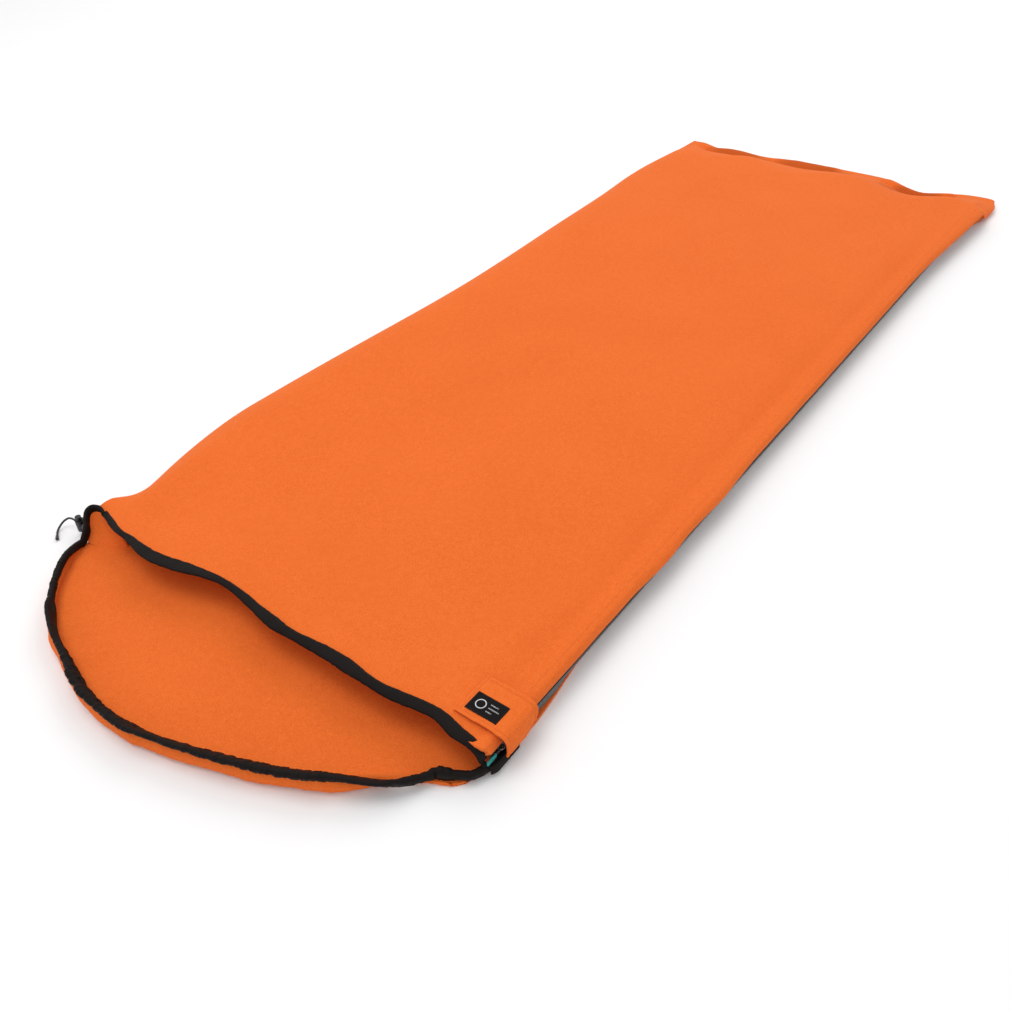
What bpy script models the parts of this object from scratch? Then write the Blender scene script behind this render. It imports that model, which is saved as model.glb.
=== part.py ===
"""Hooded envelope bag of fleece with a side zip and a drawcord hood, lying open on the ground.

Metres, +Z up. +Y runs from the hood to the foot and +X is the zip side.
The origin is on the ground, under the middle of the bag's outline.
"""

import math

import bmesh
import bpy
from mathutils import Matrix, Vector

# ---- driving dimensions -------------------------------------------------------------------
LENGTH = 2.080          # hood rim to foot seam
WIDTH = 0.760           # across the base sheet
HOOD = 0.240            # how far the hood reaches past the shoulders
LOFT = 0.044            # crest of the cover above the ground
FLEECE = 0.004          # one layer of fleece, pile included
GAP = 0.0003            # clearance between faces that meet
SIDE_BOW = 0.011        # how far the zip side is drawn in between its corners
SIDE_BOW_START = -0.740
SIDE_BOW_END = 0.740

FRONT_Y = -LENGTH / 2
FOOT_Y = LENGTH / 2
SHOULDER_Y = FRONT_Y + HOOD
HALF = WIDTH / 2

# ---- hood ---------------------------------------------------------------------------------
HOOD_FOLD_Y = SHOULDER_Y - 0.055
HOOD_LEFT = 0.330       # half widths of the hood's outline at the shoulder line
HOOD_RIGHT = 0.372
RIM_RISE = 0.018
RIM_INSETS = (0.004, 0.007, 0.011)
RIM_HEIGHTS = (RIM_RISE, RIM_RISE * 0.45, RIM_RISE * 0.12)
CHANNEL_R = 0.0060
CHANNEL_WALL = 0.0010
CORD_R = 0.0015

# ---- cover and zip ------------------------------------------------------------------------
COLLAR_Y = SHOULDER_Y - 0.030
COLLAR_WIDTH = 0.014
COLLAR_THICK = 0.005
COVER_FRONT_Y = COLLAR_Y + COLLAR_WIDTH / 2 + GAP
COVER_EDGE_Z = 0.0075   # middle of the fleece where the cover meets the base
COVER_MID_Z = LOFT - FLEECE / 2
ZIP_X = 0.3635
ZIP_Z = 0.0192
ZIP_START_Y = COLLAR_Y + 0.004
ZIP_END_Y = FOOT_Y - 0.150
TAPE_THICK = 0.0008
TAPE_TOP_Z = 0.0345
COIL_R = 0.0010
COIL_OFFSET = 0.0016    # from the zip's middle to the middle of each coil
FOLD_Z = LOFT + 0.0015  # the cover folds back about a line just above it
STOP_LENGTH = 0.004

# ---- slider, measured from its own middle ---------------------------------------------------
SLIDER_Y = SHOULDER_Y - 0.008
SLIDER_LENGTH = 0.013
SLIDER_HEIGHT = 0.010
PLATE_IN = 0.00135
PLATE_OUT = 0.00225
POST_HALF = 0.0003
PIN_X = PLATE_OUT + 0.0016
PIN_R = 0.00055

# ---- flap over the slider -------------------------------------------------------------------
FLAP_THICK = 0.0024
FLAP_LEFT_X = 0.309
FLAP_OUT_X = HALF - 0.0003 - FLAP_THICK / 2
FLAP_Z = LOFT + 0.0030
FLAP_HEM_Z = 0.0255      # the pull swings out below this hem
FLAP_LOW_Y = SHOULDER_Y - 0.0165
FLAP_HIGH_Y = SHOULDER_Y + 0.0450

# ---- cord, lock and eyelet ------------------------------------------------------------------
CORD_Y = SHOULDER_Y - 0.046
CORD_Z = 0.0160
EYELET_X = -0.3275
LOCK_X = -0.3380
LOCK_R = 0.0060
LOCK_BOTTOM = 0.0060
LOCK_TOP = 0.0235
PLUNGER_R = 0.0042
PLUNGER_TOP = 0.0290
PRESS = 0.0035          # how far the plunger travels

# Route of the free cord: straight out through the lock, down to the ground and round.
TAIL_ROUTE = (
    (-0.3272, -0.8460, 0.0160),
    (-0.3380, -0.8460, 0.0160),
    (-0.3480, -0.8460, 0.0160),
    (-0.3570, -0.8460, 0.0158),
    (-0.3660, -0.8475, 0.0135),
    (-0.3715, -0.8530, 0.0090),
    (-0.3715, -0.8610, 0.0045),
    (-0.3670, -0.8680, 0.0024),
    (-0.3600, -0.8730, 0.0022),
)

COLLECTION = "hooded_fleece_bag"


# ---- scene, materials and small helpers -----------------------------------------------------
def clear_scene():
    for item in list(bpy.data.objects):
        bpy.data.objects.remove(item, do_unlink=True)


def make_collection(name):
    collection = bpy.data.collections.new(name)
    bpy.context.scene.collection.children.link(collection)
    return collection


def make_material(name, colour, roughness, metallic=0.0):
    material = bpy.data.materials.new(name)
    material.use_nodes = True
    shader = material.node_tree.nodes["Principled BSDF"]
    shader.inputs["Base Color"].default_value = (*colour, 1.0)
    shader.inputs["Roughness"].default_value = roughness
    shader.inputs["Metallic"].default_value = metallic
    return material


def make_materials():
    return {
        "fleece": make_material("fleece", (0.86, 0.18, 0.03), 0.95),
        "binding": make_material("binding", (0.012, 0.010, 0.010), 0.55),
        "tape": make_material("tape", (0.16, 0.16, 0.16), 0.80),
        "coil": make_material("coil", (0.05, 0.05, 0.05), 0.45),
        "metal": make_material("metal", (0.42, 0.42, 0.43), 0.35, 1.0),
        "plastic": make_material("plastic", (0.015, 0.015, 0.015), 0.40),
        "cord": make_material("cord", (0.02, 0.02, 0.02), 0.70),
        "grip": make_material("grip", (0.01, 0.28, 0.27), 0.45),
        "label": make_material("label", (0.015, 0.013, 0.014), 0.60),
        "spring": make_material("spring", (0.60, 0.60, 0.62), 0.30, 1.0),
    }


def add_object(name, mesh, collection, material):
    item = bpy.data.objects.new(name, mesh)
    collection.objects.link(item)
    mesh.materials.clear()
    mesh.materials.append(material)
    return item


def mesh_from(bm, name):
    bmesh.ops.recalc_face_normals(bm, faces=bm.faces)
    mesh = bpy.data.meshes.new(name)
    bm.to_mesh(mesh)
    bm.free()
    return mesh


def smoothstep(value):
    t = min(max(value, 0.0), 1.0)
    return t * t * (3.0 - 2.0 * t)


def mix(a, b, t):
    return a + (b - a) * t


def solidify(item, thickness, offset):
    modifier = item.modifiers.new("thickness", "SOLIDIFY")
    modifier.thickness = thickness
    modifier.offset = offset
    modifier.use_even_offset = False
    return modifier


def box_mesh(name, low, high, bevel=0.0):
    bm = bmesh.new()
    bmesh.ops.create_cube(bm, size=1.0)
    size = Vector(high) - Vector(low)
    middle = (Vector(high) + Vector(low)) / 2
    bmesh.ops.scale(bm, vec=size, verts=bm.verts)
    bmesh.ops.translate(bm, vec=middle, verts=bm.verts)
    if bevel:
        bmesh.ops.bevel(bm, geom=bm.edges[:], offset=bevel, segments=1, affect="EDGES")
    return mesh_from(bm, name)


def box(name, low, high, collection, material, bevel=0.0):
    return add_object(name, box_mesh(name, low, high, bevel), collection, material)


def cylinder(name, radius, low_z, high_z, place, collection, material, segments=24):
    bm = bmesh.new()
    height = high_z - low_z
    bmesh.ops.create_cone(bm, cap_ends=True, segments=segments, radius1=radius, radius2=radius, depth=height)
    bmesh.ops.translate(bm, vec=(place[0], place[1], low_z + height / 2), verts=bm.verts)
    return add_object(name, mesh_from(bm, name), collection, material)


def smooth_points(route, count):
    """Points evenly spaced in parameter on a Catmull-Rom curve through the route."""
    knots = [Vector(p) for p in route]
    knots = [knots[0] * 2 - knots[1]] + knots + [knots[-1] * 2 - knots[-2]]
    spans = len(knots) - 3
    points = []
    for i in range(count):
        place = i * spans / (count - 1)
        k = min(int(place), spans - 1)
        t = place - k
        a, b, c, d = knots[k:k + 4]
        points.append(0.5 * (2 * b + (c - a) * t + (2 * a - 5 * b + 4 * c - d) * t * t
                             + (3 * b - a - 3 * c + d) * t * t * t))
    return points


def tube_mesh(name, points, radius, capped=True, bevel_resolution=2):
    curve = bpy.data.curves.new(name + "_path", "CURVE")
    curve.dimensions = "3D"
    curve.bevel_depth = radius
    curve.bevel_resolution = bevel_resolution
    curve.use_fill_caps = capped
    spline = curve.splines.new("POLY")
    spline.points.add(len(points) - 1)
    for point, place in zip(spline.points, points):
        point.co = (*place, 1.0)
    guide = bpy.data.objects.new(name + "_path", curve)
    bpy.context.scene.collection.objects.link(guide)
    bpy.context.view_layer.update()
    mesh = bpy.data.meshes.new_from_object(guide.evaluated_get(bpy.context.evaluated_depsgraph_get()))
    bpy.data.objects.remove(guide, do_unlink=True)
    bm = bmesh.new()
    bm.from_mesh(mesh)
    bmesh.ops.remove_doubles(bm, verts=bm.verts, dist=0.00001)
    bmesh.ops.recalc_face_normals(bm, faces=bm.faces)
    bm.to_mesh(mesh)
    bm.free()
    mesh.name = name
    return mesh


def boolean(item, cutter, operation, cutters):
    for owner in list(cutter.users_collection):
        owner.objects.unlink(cutter)
    cutters.objects.link(cutter)
    cutter.hide_render = True
    cutter.display_type = "WIRE"
    modifier = item.modifiers.new(cutter.name, "BOOLEAN")
    modifier.operation = operation
    modifier.solver = "EXACT"
    modifier.object = cutter


# ---- outlines -------------------------------------------------------------------------------
def hood_depth(x):
    """How far the hood's rim lies in front of the shoulder line at x."""
    half, power = (HOOD_LEFT, 2.0) if x < 0 else (HOOD_RIGHT, 1.65)
    return HOOD * max(1.0 - abs(x / half) ** power, 0.0) ** (1.0 / power)


def hood_half(side, y):
    """Half width of the hood at y on one side, the inverse of hood_depth."""
    half, power = (HOOD_LEFT, 2.0) if side < 0 else (HOOD_RIGHT, 1.65)
    depth = min(max((SHOULDER_Y - y) / HOOD, 0.0), 1.0)
    return half * (1.0 - depth ** power) ** (1.0 / power)


def left_edge(y):
    """The side fold is drawn in at the hood corner and full width further down."""
    if y <= SHOULDER_Y:
        return -hood_half(-1, y) - 0.010 * smoothstep((y - HOOD_FOLD_Y) / (SHOULDER_Y - HOOD_FOLD_Y))
    return mix(-HOOD_LEFT - 0.010, -HALF, smoothstep((y - SHOULDER_Y) / 0.30))


def right_edge(y):
    if y <= SHOULDER_Y:
        return mix(hood_half(1, HOOD_FOLD_Y), HALF - 0.001, smoothstep((y - HOOD_FOLD_Y) / 0.020))
    drawn_in = smoothstep((y - SIDE_BOW_START) / 0.20) * (1.0 - smoothstep((y - SIDE_BOW_END) / 0.20))
    return HALF - SIDE_BOW * drawn_in


def cover_height(across, y):
    """Middle of the cover's fleece: across runs from 0 at the side fold to 1 at the zip."""
    rise = mix(0.045, 0.12, smoothstep((y - COVER_FRONT_Y) / 0.30))
    crest = mix(COVER_EDGE_Z, COVER_MID_Z, smoothstep(across / rise))
    crest -= 0.0045 * smoothstep((across - 0.80) / 0.20)
    drop = smoothstep((y - (FOOT_Y - 0.140)) / 0.128)
    return mix(crest, COVER_EDGE_Z, drop)


def fold_frame():
    """Start, end, direction and across-direction of the line that the cover folds back about."""
    start = Vector((left_edge(COVER_FRONT_Y) + 0.003, COVER_FRONT_Y, FOLD_Z))
    end = Vector((ZIP_X, ZIP_END_Y + 0.003, FOLD_Z))
    along = (end - start).normalized()
    return start, end, along, along.cross(Vector((0, 0, 1)))


# ---- fleece ---------------------------------------------------------------------------------
def shaped_grid(name, columns, rows, place):
    """A grid whose points are put where place(across, along) says, both from 0 to 1."""
    bm = bmesh.new()
    bmesh.ops.create_grid(bm, x_segments=columns, y_segments=rows, size=0.5)
    for vert in bm.verts:
        vert.co = Vector(place(vert.co.x + 0.5, vert.co.y + 0.5))
    return bm


def base_sheet(collection, material):
    def place(across, along):
        y = mix(HOOD_FOLD_Y + GAP, FOOT_Y, along)
        return (mix(left_edge(y), right_edge(y), across), y, 0.0)

    mesh = mesh_from(shaped_grid("base_sheet", 8, 40, place), "base_sheet")
    item = add_object("base_sheet", mesh, collection, material)
    solidify(item, FLEECE, 1.0)
    return item


def cover_place(across, along):
    y = mix(COVER_FRONT_Y, FOOT_Y - 0.012, along)
    x = mix(left_edge(y) + 0.003, ZIP_X, across)
    return (x, y, cover_height(across, y))


def cover_part(name, side, collection, material):
    """One side of the cover: +1 is the part that folds back, -1 the part sewn down to the foot."""
    start, _, _, across = fold_frame()
    bm = shaped_grid(name, 22, 48, cover_place)
    cut = bm.verts[:] + bm.edges[:] + bm.faces[:]
    bmesh.ops.bisect_plane(bm, geom=cut, dist=0.00001, plane_co=start + across * side * 0.0005,
                           plane_no=across * -side, clear_outer=True)
    item = add_object(name, mesh_from(bm, name), collection, material)
    solidify(item, FLEECE, 0.0)
    return item


def foot_seam(collection, material):
    low = (-HALF + 0.004, FOOT_Y - 0.0115, FLEECE + GAP)
    high = (HALF - 0.004, FOOT_Y - 0.0005, FLEECE + 0.0050)
    return box("foot_seam", low, high, collection, material, 0.0012)


def hood_outline():
    """The hood's edge from the zip side round the front to the other side."""
    right = hood_half(1, HOOD_FOLD_Y - GAP)
    left = -hood_half(-1, HOOD_FOLD_Y - GAP)
    points = []
    steps = 40
    for i in range(steps + 1):
        swing = math.pi * i / steps
        middle = (right + left) / 2
        x = middle + (right - left) / 2 * math.cos(swing)
        points.append(Vector((x, SHOULDER_Y - hood_depth(x), 0.0)))
    points[0].y = points[-1].y = HOOD_FOLD_Y - GAP
    return points


def rim_lift(y):
    return smoothstep((HOOD_FOLD_Y - y) / 0.060)


def hood_sheet(collection, material):
    """A flat sheet whose round front edge turns up to carry the drawcord channel."""
    bm = bmesh.new()
    face = bm.faces.new([bm.verts.new(p) for p in hood_outline()])
    for inset, height in zip(RIM_INSETS, RIM_HEIGHTS):
        made = bmesh.ops.inset_region(bm, faces=[face], thickness=inset, use_even_offset=True)["faces"]
        outer = {vert for ring_face in made for vert in ring_face.verts} - set(face.verts)
        for vert in outer:
            if vert.co.z == 0.0:
                vert.co.z = max(height * rim_lift(vert.co.y), 0.00001)
    bm.normal_update()
    mesh = bpy.data.meshes.new("hood_sheet")
    if face.normal.z < 0:
        bmesh.ops.reverse_faces(bm, faces=bm.faces)
    bm.to_mesh(mesh)
    bm.free()
    item = add_object("hood_sheet", mesh, collection, material)
    solidify(item, FLEECE, 1.0)
    return item


# ---- black edgings --------------------------------------------------------------------------
def channel_route():
    points = []
    outline = hood_outline()
    for before, point, after in zip(outline[:-2], outline[1:-1], outline[2:]):
        inward = Vector((0, 0, 1)).cross((before - after).normalized())
        place = point + inward * 0.008
        place.z = FLEECE + 0.0015 + RIM_RISE * rim_lift(place.y) + CHANNEL_R
        points.append(place)
    points[0].y = points[-1].y = HOOD_FOLD_Y - 2 * GAP
    return points


def hood_channel(collection, material):
    """The gathered tube along the hood's rim, open at both ends for the drawcord."""
    mesh = tube_mesh("hood_channel", channel_route(), CHANNEL_R - CHANNEL_WALL, False)
    item = add_object("hood_channel", mesh, collection, material)
    solidify(item, CHANNEL_WALL, 1.0)
    return item


def hood_drawcord(collection, material):
    mesh = tube_mesh("hood_drawcord", channel_route()[1:-1], CORD_R)
    return add_object("hood_drawcord", mesh, collection, material)


def corner_loop(collection, material):
    """The edging that stands up in a loop where the cover's hem turns down to the hood."""
    start = channel_route()[-1]
    route = (
        (start.x, HOOD_FOLD_Y + GAP, start.z),
        (start.x - 0.0080, HOOD_FOLD_Y + 0.010, start.z + 0.007),
        (start.x - 0.0100, HOOD_FOLD_Y + 0.018, start.z + 0.017),
        (start.x - 0.0060, HOOD_FOLD_Y + 0.023, start.z + 0.027),
        (start.x + 0.0020, COLLAR_Y, COVER_MID_Z),
    )
    mesh = tube_mesh("corner_loop", smooth_points(route, 16), 0.0042)
    return add_object("corner_loop", mesh, collection, material)


def collar_binding(collection, material):
    """The hem tape along the cover's head edge, as a flat bar that follows the cover."""
    left = channel_route()[-1].x + 0.0070
    right = ZIP_X - 0.003

    def place(across, along):
        x = mix(left, right, across)
        y = COLLAR_Y + (along - 0.5) * COLLAR_WIDTH
        edge = left_edge(COVER_FRONT_Y) + 0.003
        return (x, y, cover_height((x - edge) / (ZIP_X - edge), COVER_FRONT_Y))

    mesh = mesh_from(shaped_grid("collar_binding", 30, 2, place), "collar_binding")
    item = add_object("collar_binding", mesh, collection, material)
    solidify(item, COLLAR_THICK, 0.0)
    return item


def corner_patch(collection, cutters, material):
    """The black patch that closes the zip side corner: flat on the base, turned up beside the zip."""
    near = ZIP_X + 0.0012
    low = (near, SHOULDER_Y - 0.034, FLEECE + GAP)
    high = (HALF - 0.0015, SHOULDER_Y + 0.012, FLEECE + 0.0022)
    item = box("corner_patch", low, high, collection, material)
    top = (near + 0.0012, high[1], ZIP_Z - SLIDER_HEIGHT / 2 - 0.0012)
    boolean(item, box("patch_upright", low, top, collection, material), "UNION", cutters)
    return item


def edging_end(collection, material):
    """The last of the hood's edging, past the fold, round to the zip side corner."""
    start = channel_route()[0]
    route = (
        (start.x, HOOD_FOLD_Y + GAP, start.z),
        (start.x + 0.0100, HOOD_FOLD_Y + 0.006, start.z - 0.001),
        (start.x + 0.0200, HOOD_FOLD_Y + 0.015, start.z - 0.002),
    )
    mesh = tube_mesh("edging_end", smooth_points(route, 8), 0.0042)
    return add_object("edging_end", mesh, collection, material)


# ---- zip ------------------------------------------------------------------------------------
def zip_tape(name, low_z, high_z, collection, material):
    low = (ZIP_X - TAPE_THICK / 2, ZIP_START_Y, low_z)
    high = (ZIP_X + TAPE_THICK / 2, ZIP_END_Y, high_z)
    return box(name, low, high, collection, material)


def zip_coil(name, side, collection, material):
    z = ZIP_Z + side * COIL_OFFSET
    ends = ((ZIP_X, SLIDER_Y - 0.012, z), (ZIP_X, ZIP_END_Y, z))
    return add_object(name, tube_mesh(name, [Vector(p) for p in ends], COIL_R), collection, material)


def zip_stop(name, side, collection, material):
    """A clamp at the head end of one coil, which stops the slider."""
    z = ZIP_Z + side * COIL_OFFSET
    start = SLIDER_Y - 0.012 - GAP
    low = (ZIP_X - 0.0012, start - STOP_LENGTH, z - 0.0010)
    high = (ZIP_X + 0.0012, start, z + 0.0010)
    return box(name, low, high, collection, material, 0.0003)


def bottom_stop(collection, material):
    low = (ZIP_X - 0.0014, ZIP_END_Y + GAP, FLEECE + GAP)
    high = (ZIP_X + 0.0014, ZIP_END_Y + 0.0050, ZIP_Z + 0.0036)
    return box("bottom_stop", low, high, collection, material, 0.0004)


def slider_body(collection, cutters, material):
    """Two plates on a post, with lips round the lower tape and a bridge for the pull."""
    half_y = SLIDER_LENGTH / 2
    half_z = SLIDER_HEIGHT / 2
    item = box("slider_body", (PLATE_IN, -half_y, -half_z), (PLATE_OUT, half_y, half_z), collection, material)
    lip_low_y = -half_y + 0.0001
    lip_high_y = half_y - 0.0001
    lip_low_z = -half_z + 0.0001
    lip_high_z = -half_z + 0.0009
    post_x = PLATE_OUT - 0.0002
    joined = {
        "slider_back": ((-PLATE_OUT, -half_y, -half_z), (-PLATE_IN, half_y, half_z)),
        "slider_post": ((-post_x, -half_y + 0.0004, -POST_HALF), (post_x, -half_y + 0.003, POST_HALF)),
        "slider_lip_out": ((0.00085, lip_low_y, lip_low_z), (0.0016, lip_high_y, lip_high_z)),
        "slider_lip_in": ((-0.0016, lip_low_y, lip_low_z), (-0.00085, lip_high_y, lip_high_z)),
    }
    for name, (low, high) in joined.items():
        boolean(item, box(name, low, high, collection, material), "UNION", cutters)
    arch = [Vector((PLATE_OUT - 0.0004 + 0.0037 * math.sin(a), -0.0040 * math.cos(a), 0.0))
            for a in [math.pi * i / 12 for i in range(13)]]
    bridge = add_object("slider_bridge", tube_mesh("slider_bridge", arch, 0.0006), collection, material)
    boolean(item, bridge, "UNION", cutters)
    place = (ZIP_X, SLIDER_Y, ZIP_Z)
    for piece in [item, bridge] + [cutters.objects[name] for name in joined]:
        piece.location = place
    return item


def pull_tab(collection, cutters, material):
    """A pin through the bridge, two cheeks beside it and a flat tab towards the head."""
    item = box("pull_tab", (-0.0005, -0.0110, -0.0026), (0.0005, -0.0055, 0.0026), collection, material)
    joined = {}
    for side in (-1, 1):
        low = (-0.0005, -0.0057, min(side * 0.0012, side * 0.0025))
        high = (0.0005, 0.0008, max(side * 0.0012, side * 0.0025))
        joined["pull_cheek_" + ("low" if side < 0 else "high")] = (low, high)
    for name, (low, high) in joined.items():
        boolean(item, box(name, low, high, collection, material), "UNION", cutters)
    pin_ends = [Vector((0, 0, -0.0020)), Vector((0, 0, 0.0020))]
    pin = add_object("pull_pin", tube_mesh("pull_pin", pin_ends, PIN_R - 0.00008), collection, material)
    boolean(item, pin, "UNION", cutters)
    for piece in [item, pin] + [cutters.objects[name] for name in joined]:
        piece.location = (ZIP_X + PIN_X, SLIDER_Y, ZIP_Z)
    return item


def pull_grip(collection, material):
    low = (-0.0011, -0.0270, -0.0030)
    high = (0.0011, -0.0110 - GAP, 0.0030)
    item = box("pull_grip", low, high, collection, material, 0.0007)
    item.location = (ZIP_X + PIN_X, SLIDER_Y, ZIP_Z)
    return item


# ---- flap over the slider -------------------------------------------------------------------

def garage_flap(collection, material):
    """Fleece over the slider: flat on the cover, then turned down outside the zip."""
    turn = 0.0080
    profile = [(FLAP_LEFT_X, FLAP_Z), (0.330, FLAP_Z), (FLAP_OUT_X - turn, FLAP_Z)]
    for i in range(1, 6):
        swing = math.pi / 2 * i / 5
        profile.append((FLAP_OUT_X - turn + turn * math.sin(swing), FLAP_Z - turn + turn * math.cos(swing)))
    profile.append((FLAP_OUT_X, FLAP_HEM_Z))
    bm = bmesh.new()
    verts = [bm.verts.new((x, FLAP_LOW_Y, z)) for x, z in profile]
    edges = [bm.edges.new(pair) for pair in zip(verts[:-1], verts[1:])]
    swept = bmesh.ops.extrude_edge_only(bm, edges=edges)["geom"]
    moved = [g for g in swept if isinstance(g, bmesh.types.BMVert)]
    bmesh.ops.translate(bm, vec=(0, FLAP_HIGH_Y - FLAP_LOW_Y, 0), verts=moved)
    item = add_object("garage_flap", mesh_from(bm, "garage_flap"), collection, material)
    solidify(item, FLAP_THICK, 0.0)
    return item


def woven_label(collection, material):
    z = FLAP_Z + FLAP_THICK / 2 + GAP
    low = (0.3160, SHOULDER_Y - 0.0065, z)
    high = (0.3580, SHOULDER_Y + 0.0195, z + 0.0007)
    return box("woven_label", low, high, collection, material)


# ---- drawcord, eyelet and lock --------------------------------------------------------------
def cord_eyelet(collection, material):
    """A turned ring where the cord comes out, its hole along X."""
    bm = bmesh.new()
    profile = [(0.0021, -0.0007), (0.0044, -0.0007), (0.0044, 0.0003), (0.0021, 0.0010)]
    verts = [bm.verts.new((x, 0, r)) for r, x in profile]
    edges = [bm.edges.new((verts[i], verts[(i + 1) % 4])) for i in range(4)]
    bmesh.ops.spin(bm, geom=verts + edges, cent=(0, 0, 0), axis=(1, 0, 0), angle=math.tau, steps=20)
    bmesh.ops.remove_doubles(bm, verts=bm.verts, dist=0.00001)
    item = add_object("cord_eyelet", mesh_from(bm, "cord_eyelet"), collection, material)
    item.location = (EYELET_X, CORD_Y, CORD_Z)
    return item


def drawcord_tail(collection, material):
    mesh = tube_mesh("drawcord_tail", smooth_points(TAIL_ROUTE, 26), CORD_R)
    return add_object("drawcord_tail", mesh, collection, material)


def cord_end(collection, material):
    """The moulded bell on the cord's end, in line with its last stretch."""
    last = Vector(TAIL_ROUTE[-1])
    heading = (last - Vector(TAIL_ROUTE[-2])).normalized()
    bm = bmesh.new()
    bmesh.ops.create_cone(bm, cap_ends=True, segments=16, radius1=0.0018, radius2=0.0022, depth=0.009)
    turn = Vector((0, 0, 1)).rotation_difference(Vector((heading.x, heading.y, 0)).normalized())
    bmesh.ops.transform(bm, matrix=turn.to_matrix().to_4x4(), verts=bm.verts)
    middle = last + heading * (0.0045 + 2 * GAP)
    bmesh.ops.translate(bm, vec=(middle.x, middle.y, 0.0026), verts=bm.verts)
    return add_object("cord_end", mesh_from(bm, "cord_end"), collection, material)


def cord_hole(name, collection, material, rise=0.0):
    """A slot through the lock for the cord, taller by rise where the plunger has to move."""
    radius = CORD_R + 0.0005
    bm = bmesh.new()
    bmesh.ops.create_cone(bm, cap_ends=True, segments=16, radius1=radius, radius2=radius, depth=0.03)
    bmesh.ops.rotate(bm, cent=(0, 0, 0), matrix=Matrix.Rotation(math.pi / 2, 3, "Y"), verts=bm.verts)
    for vert in bm.verts:
        if vert.co.z > 0.0001:
            vert.co.z += rise
    bmesh.ops.translate(bm, vec=(LOCK_X, CORD_Y, CORD_Z), verts=bm.verts)
    return add_object(name, mesh_from(bm, name), collection, material)


def lock_barrel(collection, cutters, material):
    place = (LOCK_X, CORD_Y)
    item = cylinder("lock_barrel", LOCK_R, LOCK_BOTTOM, LOCK_TOP, place, collection, material, 28)
    bore_low = LOCK_BOTTOM + 0.0015
    bore = cylinder("lock_bore", PLUNGER_R + 0.0003, bore_low, LOCK_TOP + 0.005, place, collection, material)
    boolean(item, bore, "DIFFERENCE", cutters)
    boolean(item, cord_hole("barrel_hole", collection, material), "DIFFERENCE", cutters)
    return item


def lock_plunger(collection, cutters, material):
    bottom = CORD_Z - 0.0035
    item = cylinder("lock_plunger", PLUNGER_R, bottom, PLUNGER_TOP, (LOCK_X, CORD_Y), collection, material)
    slot = cord_hole("plunger_hole", collection, material, PRESS)
    boolean(item, slot, "DIFFERENCE", cutters)
    return item


def lock_spring(collection, material):
    """A short coil spring between the barrel's floor and the plunger."""
    low = LOCK_BOTTOM + 0.0015 + 0.0004
    high = CORD_Z - 0.0035 - 0.0004
    turns = 3
    steps = 12
    radius = 0.0026
    points = []
    for i in range(turns * steps + 1):
        swing = math.tau * i / steps
        z = mix(low, high, i / (turns * steps))
        points.append(Vector((LOCK_X + radius * math.cos(swing), CORD_Y + radius * math.sin(swing), z)))
    mesh = tube_mesh("lock_spring", points, 0.00025, True, 1)
    return add_object("lock_spring", mesh, collection, material)


# ---- assembly -------------------------------------------------------------------------------
def shade(collection):
    for item in collection.objects:
        item.data.shade_smooth()
        item.data.set_sharp_from_angle(angle=math.radians(35))


def build():
    clear_scene()
    bag = make_collection(COLLECTION)
    cutters = make_collection("cutters")
    look = make_materials()
    base_sheet(bag, look["fleece"])
    cover_part("cover_flap", 1, bag, look["fleece"])
    cover_part("cover_foot", -1, bag, look["fleece"])
    foot_seam(bag, look["fleece"])
    hood_sheet(bag, look["fleece"])
    hood_channel(bag, look["binding"])
    hood_drawcord(bag, look["cord"])
    corner_loop(bag, look["binding"])
    collar_binding(bag, look["binding"])
    corner_patch(bag, cutters, look["binding"])
    edging_end(bag, look["binding"])
    zip_tape("zip_tape_lower", FLEECE + GAP, ZIP_Z - COIL_OFFSET - COIL_R - GAP, bag, look["tape"])
    zip_tape("zip_tape_upper", ZIP_Z + COIL_OFFSET + COIL_R + GAP, TAPE_TOP_Z, bag, look["tape"])
    zip_coil("zip_coil_lower", -1, bag, look["coil"])
    zip_coil("zip_coil_upper", 1, bag, look["coil"])
    zip_stop("top_stop_lower", -1, bag, look["metal"])
    zip_stop("top_stop_upper", 1, bag, look["metal"])
    bottom_stop(bag, look["metal"])
    slider_body(bag, cutters, look["metal"])
    pull_tab(bag, cutters, look["metal"])
    pull_grip(bag, look["grip"])
    garage_flap(bag, look["fleece"])
    woven_label(bag, look["label"])
    cord_eyelet(bag, look["metal"])
    drawcord_tail(bag, look["cord"])
    cord_end(bag, look["plastic"])
    lock_barrel(bag, cutters, look["plastic"])
    lock_plunger(bag, cutters, look["plastic"])
    lock_spring(bag, look["spring"])
    shade(bag)


build()
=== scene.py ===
# %% [markdown]
# # A hooded fleece bag with a side zip, lying open on the ground
# The bag is two layers of fleece folded along one long side. A zip closes the other side, the foot is
# sewn, and at the head the bottom layer goes on as a round hood whose edge carries a drawcord.
# The rigid model fixes where everything is. This lesson dresses it: cloth as real sheets, tape, zip teeth,
# thread and metal. Every length is in metres, +Y runs from hood to foot and +X is the zip side.

# %% Load the rigid model
import bisect
import math

import bpy
from mathutils import Matrix, Vector, noise


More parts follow.
